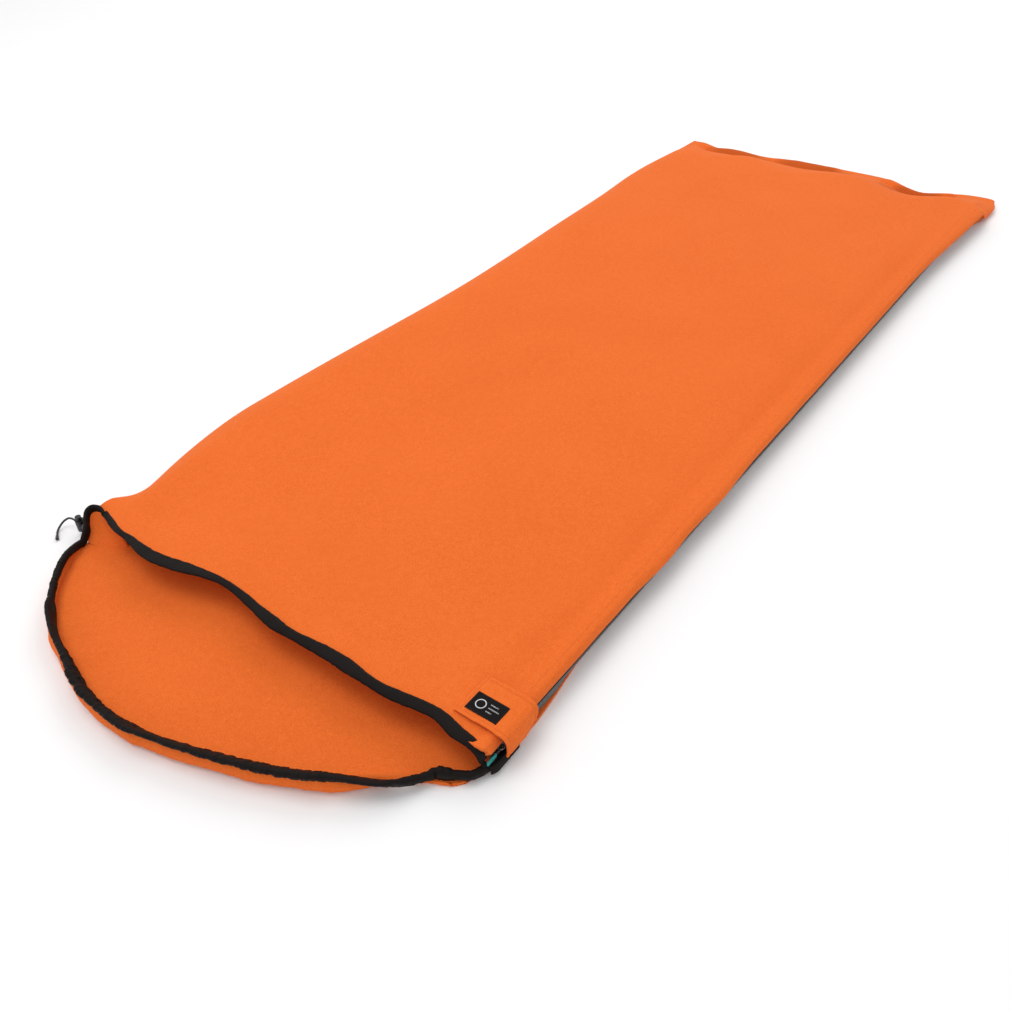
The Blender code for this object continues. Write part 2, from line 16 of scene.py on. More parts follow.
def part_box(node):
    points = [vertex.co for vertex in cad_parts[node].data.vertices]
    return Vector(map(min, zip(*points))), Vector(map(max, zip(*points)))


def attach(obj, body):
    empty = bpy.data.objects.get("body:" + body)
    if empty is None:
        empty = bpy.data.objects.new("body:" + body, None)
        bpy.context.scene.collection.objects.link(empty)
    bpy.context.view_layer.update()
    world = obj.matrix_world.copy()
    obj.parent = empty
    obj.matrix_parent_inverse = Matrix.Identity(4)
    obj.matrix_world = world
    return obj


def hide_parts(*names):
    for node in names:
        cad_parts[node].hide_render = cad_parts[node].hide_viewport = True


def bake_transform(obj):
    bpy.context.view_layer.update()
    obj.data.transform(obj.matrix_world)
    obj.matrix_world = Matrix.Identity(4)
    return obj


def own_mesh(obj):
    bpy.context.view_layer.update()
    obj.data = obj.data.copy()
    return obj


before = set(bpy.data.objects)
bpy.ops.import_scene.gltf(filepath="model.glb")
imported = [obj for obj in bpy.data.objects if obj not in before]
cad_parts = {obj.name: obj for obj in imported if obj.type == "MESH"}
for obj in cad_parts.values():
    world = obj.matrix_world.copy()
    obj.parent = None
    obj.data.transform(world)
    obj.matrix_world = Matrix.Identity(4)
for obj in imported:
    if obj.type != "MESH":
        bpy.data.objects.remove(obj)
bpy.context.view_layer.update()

# %% [markdown]
# ## The camera
# The camera looks down on the bag from beyond the hood, on the zip side. It is set first, because the free
# cord is checked against what it sees. Its three directions are written out, so it has no roll of its own.

# %% Camera
eye = bpy.data.cameras.new("eye")
eye.lens = 33.93
eye.sensor_width = 36.0
camera = bpy.data.objects.new("eye", eye)
bpy.context.scene.collection.objects.link(camera)
right = Vector((0.80265, 0.59590, -0.02563))
upward = Vector((-0.35957, 0.51771, 0.77633))
backward = Vector((0.47589, -0.61390, 0.62981))
camera.matrix_world = Matrix((
    (right.x, upward.x, backward.x, 0.758),
    (right.y, upward.y, backward.y, -1.294),
    (right.z, upward.z, backward.z, 0.856),
    (0.0, 0.0, 0.0, 1.0),
))
bpy.context.scene.camera = camera
print("camera lens:", eye.lens, "mm")

# %% [markdown]
# ## Small tools
# Soft shapes are built from a few smooth functions. `smoothstep` goes gently from 0 to 1, `mix` goes
# between two values, `hill` is one rounded rise, and `drift` is slow natural unevenness from -1 to 1.


# %% Smooth functions
def smoothstep(value):
    t = min(max(value, 0.0), 1.0)
    return t * t * (3.0 - 2.0 * t)


def mix(a, b, t):
    return a + (b - a) * t


def hill(value, middle, width):
    return math.exp(-((value - middle) / width) ** 2)


def drift(kind, x, y=0.0):
    return noise.noise(Vector((x, y, kind * 7.31)))


def between(table, value):
    """Reads a table of (place, number) rows, smoothly between its rows."""
    places = [row[0] for row in table]
    i = min(max(bisect.bisect(places, value) - 1, 0), len(table) - 2)
    a, b = table[i], table[i + 1]
    return mix(a[1], b[1], smoothstep((value - a[0]) / (b[0] - a[0])))


def along_path(path, place):
    """The point at a place from 0 to 1 along a path of points, by length."""
    steps = [(Vector(b) - Vector(a)).length for a, b in zip(path, path[1:])]
    left = place * sum(steps)
    for a, b, step in zip(path, path[1:], steps):
        if left <= step:
            return Vector(a).lerp(Vector(b), left / step)
        left -= step
    return Vector(path[-1])


def smooth_route(route, count):
    """Points on one smooth curve through a few given ones."""
    knots = [Vector(p) for p in route]
    knots = [knots[0] * 2 - knots[1]] + knots + [knots[-1] * 2 - knots[-2]]
    spans = len(knots) - 3
    points = []
    for i in range(count):
        place = i * spans / (count - 1)
        k = min(int(place), spans - 1)
        t = place - k
        a, b, c, d = knots[k:k + 4]
        points.append(0.5 * (2 * b + (c - a) * t + (2 * a - 5 * b + 4 * c - d) * t * t
                             + (3 * b - a - 3 * c + d) * t * t * t))
    return points


# %% [markdown]
# ## How the pieces are made
# A sheet of cloth is a flat grid whose points are moved to where the cloth lies, then given a thickness.
# Its UV map keeps the flat cloth's own coordinates, so a weave follows the cloth. Hard parts start as
# primitives, shaped in edit mode. Each finished piece has its place in its mesh and its object at the origin.


# %% Tools for pieces
pieces = {}


def deselect():
    if bpy.context.object and bpy.context.object.mode == "EDIT":
        bpy.ops.object.mode_set(mode="OBJECT")
    bpy.ops.object.select_all(action="DESELECT")


def pick(item):
    deselect()
    item.select_set(True)
    bpy.context.view_layer.objects.active = item


def name_piece(name):
    item = bpy.context.object
    item.name = name
    item.data.name = name
    pieces[name] = item
    return item


def settle(item):
    """Applies the object's place, turn and size, so that they are in its mesh."""
    pick(item)
    bpy.ops.object.transform_apply(location=True, rotation=True, scale=True)


def apply_modifiers(item):
    pick(item)
    for modifier in list(item.modifiers):
        bpy.ops.object.modifier_apply(modifier=modifier.name)


def cloth_grid(name, columns, rows, place, size=(1.0, 1.0)):
    """A grid of cloth: place(across, along) says where each point lies, size is its flat size for the UVs."""
    deselect()
    bpy.ops.mesh.primitive_grid_add(x_subdivisions=columns, y_subdivisions=rows, size=1.0)
    item = name_piece(name)
    for loop in item.data.uv_layers.active.data:
        loop.uv = (loop.uv[0] * size[0], loop.uv[1] * size[1])
    for vert in item.data.vertices:
        vert.co = place(vert.co.x + 0.5, vert.co.y + 0.5)
    item.data.shade_smooth()
    return item


def thicken(item, thickness, offset=0.0, even=False):
    modifier = item.modifiers.new("thickness", "SOLIDIFY")
    modifier.thickness = thickness
    modifier.offset = offset
    modifier.use_even_offset = even
    apply_modifiers(item)
    return item


def frames_along(points, up=Vector((0, 0, 1))):
    """At each point of a path: the point, its forward, sideways and upward directions."""
    found = []
    for i, point in enumerate(points):
        ahead = points[min(i + 1, len(points) - 1)] - points[max(i - 1, 0)]
        ahead.normalize()
        side = ahead.cross(up).normalized()
        found.append((point, ahead, side, side.cross(ahead)))
    return found


def rolled_grid(name, around, points, section, up=Vector((0, 0, 1)), size=(1.0, 1.0)):
    """A closed tube along a path. section(turn, place) gives sideways and upward distances."""
    found = frames_along(points, up)
    rows = len(points) - 1

    def place(across, along):
        i = int(round(along * rows))
        point, _, side, rise = found[i]
        out, lift = section(across, i / rows)
        return point + side * out + rise * lift

    item = cloth_grid(name, around, rows, place, size)
    pick(item)
    bpy.ops.object.mode_set(mode="EDIT")
    bpy.ops.mesh.select_all(action="SELECT")
    bpy.ops.mesh.remove_doubles(threshold=0.00001)
    bpy.ops.mesh.select_all(action="DESELECT")
    bpy.ops.mesh.select_mode(type="EDGE")
    bpy.ops.mesh.select_non_manifold()
    bpy.ops.mesh.fill_holes(sides=around + 2)
    bpy.ops.mesh.select_all(action="SELECT")
    bpy.ops.mesh.normals_make_consistent(inside=False)
    bpy.ops.object.mode_set(mode="OBJECT")
    item.data.shade_smooth()
    return item


def copies(name, pattern, places):
    """One mesh of many copies of a small pattern piece, which is then removed."""
    shape = pattern.data
    verts = []
    faces = []
    for matrix in places:
        first = len(verts)
        verts += [matrix @ vert.co for vert in shape.vertices]
        faces += [[first + i for i in face.vertices] for face in shape.polygons]
    mesh = bpy.data.meshes.new(name)
    mesh.from_pydata(verts, [], faces)
    mesh.shade_smooth()
    item = bpy.data.objects.new(name, mesh)
    bpy.context.scene.collection.objects.link(item)
    pieces[name] = item
    pieces.pop(pattern.name, None)
    bpy.data.objects.remove(pattern, do_unlink=True)
    print(name, "has", len(places), "copies")
    return item


def stitch_pattern(length, radius):
    """One stitch: a small rounded stroke of thread along Y."""
    deselect()
    bpy.ops.mesh.primitive_cylinder_add(vertices=6, radius=radius, depth=length * 0.7, end_fill_type="TRIFAN")
    stitch = name_piece("one_stitch")
    pick(stitch)
    bpy.ops.object.mode_set(mode="EDIT")
    bpy.ops.mesh.select_all(action="SELECT")
    bpy.ops.transform.rotate(value=math.pi / 2, orient_axis="X", center_override=(0, 0, 0))
    bpy.ops.object.mode_set(mode="OBJECT")
    for vert in stitch.data.vertices:
        if (vert.co.x ** 2 + vert.co.z ** 2) ** 0.5 < radius * 0.2:
            vert.co.y *= 1.4
            vert.co.z -= radius * 0.5
    return stitch


def stitches(name, points, pitch, length=0.0026, radius=0.00028):
    """A row of stitches that lie on the points' path, one per pitch."""
    places = []
    carried = pitch / 2
    for a, b in zip(points, points[1:]):
        step = (b[0] - a[0]).length
        while carried < step:
            spot = a[0].lerp(b[0], carried / step)
            ahead = (b[0] - a[0]).normalized()
            rise = (a[1] - ahead * a[1].dot(ahead)).normalized()
            side = ahead.cross(rise)
            turn = Matrix((side, ahead, rise)).transposed().to_4x4()
            places.append(Matrix.Translation(spot) @ turn)
            carried += pitch
        carried -= step
    return copies(name, stitch_pattern(length, radius), places)


print("tools ready")

# %% [markdown]
# ## The bag's outline
# The hood is half of a rounded outline, a little fuller on the zip side, and the body below it is nearly
# straight. The left side is a fold, drawn in at the hood's corner. These numbers are the rigid model's.

# %% Outline numbers
FRONT_Y, FOOT_Y = -1.040, 1.040
SHOULDER_Y = -0.800
FOLD_Y = -0.855
HOOD = SHOULDER_Y - FRONT_Y
HOOD_LEFT, HOOD_RIGHT = 0.330, 0.372
HALF = 0.380
FLEECE = 0.004
ZIP_X = 0.3635
ZIP_Z = 0.0192
ZIP_END_Y = 0.890
COLLAR_Y = -0.830
COVER_Y = -0.8227


def hood_power(x):
    return (HOOD_LEFT, 2.0) if x < 0 else (HOOD_RIGHT, 1.65)


def hood_half(side, y):
    half, power = hood_power(side)
    depth = min(max((SHOULDER_Y - y) / HOOD, 0.0), 1.0)
    return half * (1.0 - depth ** power) ** (1.0 / power)


def left_edge(y):
    if y <= SHOULDER_Y:
        return -hood_half(-1, y) - 0.010 * smoothstep((y - FOLD_Y) / (SHOULDER_Y - FOLD_Y))
    return mix(-HOOD_LEFT - 0.010, -HALF, smoothstep((y - SHOULDER_Y) / 0.30))


def right_edge(y):
    if y <= SHOULDER_Y:
        return mix(hood_half(1, FOLD_Y), HALF - 0.001, smoothstep((y - FOLD_Y) / 0.020))
    return HALF


def rim_lift(y):
    return smoothstep((FOLD_Y - y) / 0.060)


print("hood half widths at its fold:", round(hood_half(-1, FOLD_Y), 4), round(hood_half(1, FOLD_Y), 4))

# %% [markdown]
# ## Where the cloth strays from its pattern
# Limp cloth never lies exactly on its pattern. A few sizes in whole millimetres say how far each side stands
# in or out, and a soft hill or step carries each one along its edge. Everything that follows an edge asks
# these functions.

# %% Strays
FOLD_BOW, FOLD_BELLY, FOLD_HEAD = 0.018, 0.013, 0.012
ROLL_X, ROLL_BULGE, ROLL_SWELL, ROLL_CORNER = 0.368, 0.004, 0.022, 0.016
LIP_X, LIP_HEAD, LIP_CORNER, LIP_FOOT, LIP_END = 0.348, 0.024, 0.019, 0.018, 0.014
FOOT_EDGE_Y, FOOT_ROUND = 1.046, 0.008
# x, depth and half width of each place where the foot line is drawn in
FOOT_DIPS = ((-0.300, 0.019, 0.035), (-0.180, 0.017, 0.065), (0.226, 0.048, 0.060))
TUCK, TUCK_FRONT, TUCK_LEFT, TUCK_CORNER = 0.002, 0.007, 0.004, 0.010


def step_up(value, start, end):
    return smoothstep((value - start) / (end - start))


def fold_stray(y):
    """How far the fold side stands in (+) or out (-) of its pattern."""
    return FOLD_BOW * hill(y, 0.03, 0.33) - FOLD_BELLY * hill(y, 0.76, 0.15) + FOLD_HEAD * hill(y, -0.77,
                                                                                                0.07)


def zip_side(y):
    """x of the outermost cloth of the cover's roll over the zip."""
    bulges = ROLL_BULGE * (hill(y, -0.46, 0.05) + hill(y, -0.31, 0.06))
    return ROLL_X + bulges + ROLL_SWELL * step_up(y, 0.47, 1.00) - ROLL_CORNER * step_up(y, 0.98, 1.05)


def lip_side(y):
    """x of the bottom layer's edge."""
    head = LIP_HEAD * (1.0 - step_up(y, -0.80, -0.52)) - LIP_CORNER * (1.0 - step_up(y, -0.860, -0.825))
    foot = LIP_FOOT * (step_up(y, 0.50, 0.84) + step_up(y, 0.84, 0.96)) - LIP_END * step_up(y, 0.99, 1.05)
    return LIP_X + head + foot


def foot_edge(x):
    """y of the foot line."""
    dips = sum(depth * hill(x, place, width) for place, depth, width in FOOT_DIPS)
    return FOOT_EDGE_Y - dips - FOOT_ROUND * step_up(abs(x), 0.355, 0.392)


def hood_tuck(x):
    """How far the hood's rim is tucked in from its pattern."""
    tucks = TUCK_FRONT * hill(x, 0.12, 0.10) + TUCK_LEFT * hill(x, -0.13, 0.04)
    return TUCK + tucks + TUCK_CORNER * step_up(x, 0.29, 0.35)


def fold_x(y):
    return left_edge(y) + fold_stray(y)


def foot_shift(x, y):
    return (foot_edge(x) - FOOT_Y) * smoothstep((y - 0.880) / 0.150)


def low_rim(x):
    """The hood's rim comes down towards the zip side."""
    return 1.0 - 0.90 * smoothstep((x - 0.25) / 0.09)


# %% [markdown]
# ## The hood's rim as a path
# The rim is walked from the zip side round the front to the fold side, in even steps, with the direction
# that points into the hood at each step. The edging, the drawcord and the gathers all follow it.


# %% Rim path
def hood_fill(x, y):
    """0 at the middle of the shoulder line, 1 on the hood's outline."""
    half, power = hood_power(x)
    return (abs(x / half) ** power + max((SHOULDER_Y - y) / HOOD, 0.0) ** power) ** (1.0 / power)


def into_hood(x, y):
    """Distance inside the outline, and the direction that points inwards."""
    step = 0.0004
    slope_x = (hood_fill(x + step, y) - hood_fill(x - step, y)) / (2 * step)
    slope_y = (hood_fill(x, y + step) - hood_fill(x, y - step)) / (2 * step)
    slope = max(math.hypot(slope_x, slope_y), 0.5)
    away = Vector((-slope_x, -slope_y, 0.0)).normalized()
    return (1.0 - hood_fill(x, y)) / slope, away


def walk_rim(count=721):
    raw = []
    for i in range(2001):
        swing = math.pi * i / 2000
        side = 1 if swing < math.pi / 2 else -1
        half, power = hood_power(side)
        x = side * half * abs(math.cos(swing)) ** (2.0 / power)
        y = SHOULDER_Y - HOOD * math.sin(swing) ** (2.0 / power)
        if y < FOLD_Y:
            raw.append(Vector((x, y, 0.0)))
    return [along for along in even_steps(raw, count)]


def even_steps(points, count):
    lengths = [0.0]
    for a, b in zip(points, points[1:]):
        lengths.append(lengths[-1] + (b - a).length)
    found = []
    for i in range(count):
        want = lengths[-1] * i / (count - 1)
        k = min(bisect.bisect_right(lengths, want) - 1, len(points) - 2)
        found.append(points[k].lerp(points[k + 1], (want - lengths[k]) / (lengths[k + 1] - lengths[k])))
    return found


rim = walk_rim()
rim_length = sum((b - a).length for a, b in zip(rim, rim[1:]))
print("rim length:", round(rim_length, 3), "m")

# %% [markdown]
# ## The bottom sheet
# One layer of fleece is both the bag's bottom and the hood. It could be cut as two flat plates, but the
# real cloth is one piece: flat on the ground, rolled up round the hood where the drawcord gathers it, and
# turned up at the side to meet the zip. The grid starts wider than the outline, and what is outside is
# wrapped round a small section: out, up and back in.

# %% Bottom sheet's sections
FLOOR = FLEECE / 2
RIM_SECTION = (
    (0.0088, 0.0220), (0.0050, 0.0185), (0.0022, 0.0125), (0.0028, 0.0068), (0.0070, 0.0034),
               (0.0150, 0.0022),
    (0.0300, 0.0020),
)
SPARE = 0.0150      # cloth outside the outline, before it is rolled up
rim_steps = [0.0]
for a, b in zip(RIM_SECTION, RIM_SECTION[1:]):
    rim_steps.append(rim_steps[-1] + math.dist(a, b))


def rim_section(depth):
    """Inset and height of cloth that is depth inside the outline when flat."""
    path = depth + SPARE
    if path >= rim_steps[-1]:
        return depth, FLOOR
    k = max(bisect.bisect_right(rim_steps, max(path, 0.0)) - 1, 0)
    t = (max(path, 0.0) - rim_steps[k]) / (rim_steps[k + 1] - rim_steps[k])
    a, b = RIM_SECTION[k], RIM_SECTION[k + 1]
    return mix(a[0], b[0], t), mix(a[1], b[1], t)


def side_lip(x, y):
    """The zip side's edge: near the hood it turns up beside the zip, further on it is tucked under."""
    edge = lip_side(y) + 0.0010 * drift(1, y * 9.0)
    plain = right_edge(y)
    up = smoothstep((edge - ZIP_X - 0.0075) / 0.0040) * smoothstep((y + 0.848) / 0.014)
    section = ((edge - 0.0120, FLOOR), (edge - 0.0030, 0.0025), (edge - 0.0020, 0.0065),
               (edge - 0.0026, 0.0100),
               (edge - 0.0036, 0.0118))
    span = plain - 0.0120
    if x <= span:
        return x + (edge - plain) * smoothstep((x - 0.25) / (span - 0.25)), FLOOR
    past = min((x - span) / 0.0262, 1.0)
    spot = along_path(section, past)
    flat = mix(edge - 0.0120, edge - 0.0005, past)
    return mix(flat, spot.x, up), mix(FLOOR, spot.y, up)


print("cloth rolled up at the rim:", round(rim_steps[-1], 4), "m")


# %% Bottom sheet
def sheet_columns(across):
    """Columns lie close together near both edges."""
    swing = (across - 0.5) * math.pi
    return 0.5 + 0.5 * mix(across * 2 - 1, math.sin(swing), 0.72)


HOOD_ROWS = 0.52     # share of the grid's rows that make the hood


def bottom_flat(across, along):
    """Where a point of the grid is before its edges are rolled."""
    place = sheet_columns(across)
    low, high = -HOOD_LEFT - SPARE, HOOD_RIGHT + SPARE
    x = mix(low, high, place)
    if along < HOOD_ROWS:
        half, power = hood_power(x)
        half += SPARE
        reach = (HOOD + SPARE) * max(1.0 - abs(x / half) ** power, 0.0) ** (1.0 / power)
        t = along / HOOD_ROWS
        return x, SHOULDER_Y - reach * (1.0 - t ** 1.35)
    t = (along - HOOD_ROWS) / (1.0 - HOOD_ROWS)
    y = mix(SHOULDER_Y, FOOT_Y - 0.0015, t ** 1.5)
    fade = smoothstep((y - SHOULDER_Y) / 0.06)
    low = mix(low, fold_x(y) + 0.008, fade)
    high = mix(high, right_edge(y) + 0.0142, fade)
    return mix(low, high, place), y


def gathers(x, y, inside):
    """The drawcord's gathers: soft ridges that run in from the rim and fade."""
    swing = math.atan2(SHOULDER_Y - y, x + 0.02)
    ridge = drift(2, swing * 9.0) + 0.55 * drift(3, swing * 23.0)
    return ridge * math.exp(-max(inside, 0.0) / 0.055)


def hood_swell(x, y, inside):
    """The slow rise of the hood's floor towards its rim, and the cloth's own unevenness."""
    rise = 0.0055 * math.exp(-max(inside - 0.012, 0.0) / 0.030) * smoothstep((inside - 0.004) / 0.02)
    dune = 0.0042 * max(drift(4, x * 9.0, y * 9.0) + 0.20, 0.0)
    return rise + dune * smoothstep((inside - 0.02) / 0.05)


def bottom_place(across, along):
    x, y = bottom_flat(across, along)
    side_x, side_z = (x, FLOOR) if x < 0.2 else side_lip(x, y)
    if x < 0.0:
        pull = fold_x(y) + 0.008 - (-HOOD_LEFT - SPARE)
        fade = 1.0 - smoothstep((y - SHOULDER_Y) / 0.06)
        side_x = x + pull * fade * math.exp(-(x + HOOD_LEFT + SPARE) / 0.03)
    z = side_z
    if y < SHOULDER_Y + 0.04:
        inside, away = into_hood(x, y)
        lift = rim_lift(y)
        inset, height = rim_section(inside)
        height = mix(FLOOR, height, low_rim(x))
        gather = gathers(x, y, inside)
        inset += hood_tuck(x) * math.exp(-max(inside, 0.0) / 0.05)
        inset += 0.0110 * smoothstep((x - 0.25) / 0.05) * math.exp(-max(inside, 0.0) / 0.025)
        inset += gather * 0.0016 * math.exp(-max(inside, 0.0) / 0.010)
        rolled = Vector((x, y, 0.0)) + away * (inset - inside)
        height += 0.0027 * gather * smoothstep((inside + 0.004) / 0.02)
        height += hood_swell(x, y, inside) * smoothstep((SHOULDER_Y + 0.04 - y) / 0.05)
        side_x = mix(side_x, rolled.x, lift)
        y = mix(y, rolled.y, lift)
        z = mix(side_z, max(height, FLOOR), lift)
        z += hood_swell(x, y, inside) * (1.0 - lift) * smoothstep((0.30 - abs(x)) / 0.05) \
            * smoothstep((SHOULDER_Y + 0.04 - y) / 0.05)
    z += 0.0022 * smoothstep((y - (FOOT_Y - 0.016)) / 0.016)
    return Vector((side_x, y + foot_shift(side_x, y), z))


bottom = cloth_grid("bottom_fleece", 300, 96, bottom_place)
thicken(bottom, FLEECE)

# %% [markdown]
# ## The cover
# The top layer is the same fleece, joined to the bottom by the fold on the left. It lies like a flat
# pillow: it comes round the fold, rises to a broad crest, dips in a soft valley before the zip, rolls over
# the zip's upper tape, and falls to the foot seam with a few lens-shaped tucks. Each row of the grid is one
# such cross-section, drawn as a path and walked by length.

# %% Cover's height
CREST = 0.0420
EDGE = 0.0075
ROLL = 0.0105

# Soft ridges and hollows, listed one by one: x, y, half length, half width, height, heading in degrees.
COVER_RIDGES = (
    (0.300, -0.700, 0.120, 0.018, 0.0022, 78.0),
    (0.255, -0.770, 0.060, 0.012, 0.0016, 30.0),
    (0.150, -0.790, 0.080, 0.014, -0.0016, 8.0),
    (-0.050, -0.785, 0.110, 0.016, 0.0018, -6.0),
    (-0.200, -0.775, 0.080, 0.014, -0.0016, 14.0),
    (-0.290, -0.700, 0.120, 0.020, 0.0022, 98.0),
    (0.100, -0.300, 0.260, 0.060, 0.0020, 70.0),
    (-0.150, 0.150, 0.300, 0.070, -0.0020, 80.0),
    (0.120, 0.550, 0.260, 0.060, 0.0018, 96.0),
)


def ridges(x, y, table):
    total = 0.0
    for middle_x, middle_y, length, width, height, heading in table:
        turn = math.radians(heading)
        along = (x - middle_x) * math.cos(turn) + (y - middle_y) * math.sin(turn)
        across = (y - middle_y) * math.cos(turn) - (x - middle_x) * math.sin(turn)
        if abs(along) < length * 2.2 and abs(across) < width * 2.6:
            total += height * math.exp(-(along / length) ** 2 - (across / width) ** 2)
    return total


# Tucks at the foot: middle x, half width, depth. Each is a lens-shaped hollow just before the foot line.
FOOT_TUCKS = ((-0.270, 0.085, 0.9), (-0.070, 0.095, 1.0), (0.210, 0.090, 1.2))


def foot_drop(x, y):
    """0 on the crest, 1 at the foot seam."""
    reach = 0.125 + 0.018 * drift(17, x * 7.0)
    for middle, half, depth in FOOT_TUCKS:
        reach += 0.060 * depth * (1.0 - smoothstep(abs(x - middle) / (1.3 * half)))
    return smoothstep((y - (FOOT_Y - 0.010 - reach)) / reach)


def foot_tucks(x, y):
    """Lens-shaped hollows along the foot, with a soft lip on the side of the bag."""
    total = 0.0
    for middle, half, depth in FOOT_TUCKS:
        across = abs(x - middle) / half
        if across < 1.0:
            lens = math.sqrt(1.0 - across * across)
            away = FOOT_Y - 0.006 - y
            total -= 0.0105 * depth * lens * hill(away, 0.052 * lens, 0.011)
            total += 0.0075 * depth * lens * hill(away, 0.022 * lens, 0.012)
    return total


def cover_height(x, y):
    """Middle of the cover's cloth above the ground, away from its rolled edges."""
    left = fold_x(y)
    rise = mix(0.086, 0.115, smoothstep((y - COVER_Y) / 0.30)) * (ZIP_X - left)
    t = min(max((x - left - 0.004) / rise, 0.0), 1.0)
    z = mix(ROLL, CREST, 1.0 - (1.0 - t) ** 2.2)
    near = ZIP_X - x
    z -= 0.0040 * smoothstep((0.075 - near) / 0.050)
    z -= (0.0022 + 0.0014 * drift(9, y * 5.0)) * hill(near, 0.030 + 0.006 * drift(5, y * 6.0), 0.012) \
        * (1.0 - smoothstep((y - 0.45) / 0.4))
    z += 0.0012 * hill(near, 0.006, 0.009)
    inner = smoothstep((x - left) / 0.05)
    z += inner * (0.0016 * drift(6, x * 3.1, y * 3.1) + 0.0007 * drift(7, x * 9.0, y * 9.0))
    z += inner * ridges(x, y, COVER_RIDGES)
    low = EDGE + 0.0012 * drift(8, x * 30.0)
    return max(mix(z, low, foot_drop(x, y)) + foot_tucks(x, y), 0.0062)


print("cover crest at its middle:", round(cover_height(0.0, 0.0), 4))


# %% Cover's cross-section
def overhang(y):
    """How far the middle of the cover's hem stands out past the zip, and the height of its edge."""
    out = zip_side(y) - ZIP_X - COVER_THICK / 2 + 0.0006 * drift(10, y * 19.0)
    return max(out, 0.0026), 0.0282 + 0.0010 * drift(11, y * 8.0)


COVER_THICK = 0.0034
LEFT_ROLL, LEFT_RISE, CREST_SPAN, SHOULDER_SPAN, HEM_SPAN = 12, 26, 54, 30, 10
COVER_COLUMNS = LEFT_ROLL + LEFT_RISE + CREST_SPAN + SHOULDER_SPAN + HEM_SPAN


def cover_row(y):
    left = fold_x(y) + 0.0016 + 0.0012 * drift(12, y * 6.0)
    closed = smoothstep((y - (ZIP_END_Y - 0.005)) / 0.040)
    points = []
    for k in range(LEFT_ROLL):
        swing = math.radians(mix(-150.0, 42.0, k / LEFT_ROLL))
        radius = 0.0046
        points.append((left + radius - radius * math.cos(swing), 0.0064 + radius * math.sin(swing)))
    start = left + 0.0022
    rise = mix(0.086, 0.115, smoothstep((y - COVER_Y) / 0.30)) * (ZIP_X - left)
    stops = (start, start + rise, ZIP_X - 0.085, ZIP_X - 0.0030)
    counts = (LEFT_RISE, CREST_SPAN, SHOULDER_SPAN)
    for low, high, count in zip(stops, stops[1:], counts):
        for k in range(count):
            x = mix(low, high, (k / count) ** (1.5 if count == LEFT_RISE else 1.0))
            points.append((x, cover_height(x, y)))
    out, hem = overhang(y)
    top = cover_height(ZIP_X - 0.003, y)
    open_hem = ((ZIP_X - 0.003, top), (ZIP_X + out * 0.30, max(min(top, 0.0385), 0.0368)),
                (ZIP_X + out * 0.80, 0.0358), (ZIP_X + out, 0.0325), (ZIP_X + out * 0.97, hem))
    low_top = max(top, 0.0085)
    side = zip_side(y) - 0.0020 + 0.0010 * drift(13, y * 11.0)
    closed_hem = ((ZIP_X - 0.003, low_top), (ZIP_X + 0.004, mix(low_top, 0.0100, 0.25)),
                  (side - 0.0030, mix(low_top, 0.0100, 0.60)), (side, mix(low_top, 0.0090, 0.85)),
                  (side - 0.0010, 0.0075))
    for k in range(HEM_SPAN + 1):
        a = along_path(open_hem, k / HEM_SPAN)
        b = along_path(closed_hem, k / HEM_SPAN)
        points.append((mix(a.x, b.x, closed), mix(a.y, b.y, closed)))
    return points


cover_rows = {}


def cover_y(along):
    """Rows lie close together at the head and at the foot."""
    swing = (along - 0.5) * math.pi
    place = 0.5 + 0.5 * mix(along * 2 - 1, math.sin(swing), 0.80)
    return mix(COVER_Y - 0.0035, FOOT_Y - 0.0035, place)


def cover_place(across, along):
    y = cover_y(along)
    row = cover_rows.get(round(along, 6))
    if row is None:
        row = cover_rows[round(along, 6)] = cover_row(y)
    x, z = row[int(round(across * COVER_COLUMNS))]
    end = smoothstep((y - (FOOT_Y - 0.014)) / 0.011)
    z = mix(z, 0.0070, end * smoothstep((x - left_edge(y)) / 0.02))
    return Vector((x, y + foot_shift(x, y), z))


cover = cloth_grid("cover_fleece", COVER_COLUMNS, 280, cover_place)
thicken(cover, COVER_THICK)

# %% [markdown]
# ## The foot seam
# The two layers are sewn together across the foot and turned, so only a gathered line shows between them.
# It could be left out, but the shadow of that line is what makes the foot look sewn.


# %% Foot seam
def foot_seam_point(place):
    x = mix(-HALF + 0.006, HALF - 0.004, place)
    y = FOOT_Y - 0.0030 + 0.0006 * drift(14, x * 40.0)
    return Vector((x, y + foot_shift(x, y), 0.0056 + 0.0005 * drift(15, x * 30.0)))


seam_points = [foot_seam_point(i / 380) for i in range(381)]


def seam_section(turn, place):
    swing = math.tau * turn
    size = 0.0013 * (1.0 + 0.25 * math.sin(place * 1200.0) + 0.3 * drift(16, place * 160.0))
    return size * math.cos(swing), size * math.sin(swing)


foot_seam = rolled_grid("foot_seam_gather", 10, seam_points, seam_section, size=(0.008, 0.75))
print("foot seam:", len(foot_seam.data.polygons), "faces")

# %% [markdown]
# ## The hood's edging
# A strip of thin black cloth is folded over the hood's edge and sewn down as a channel, and the drawcord
# inside gathers it. It is one tube of cloth that is never round for long: it is flat and wide where the
# gathers are loose, narrow and twisted where they are tight. At the fold side it stands up in a loop to
# meet the cover's hem.

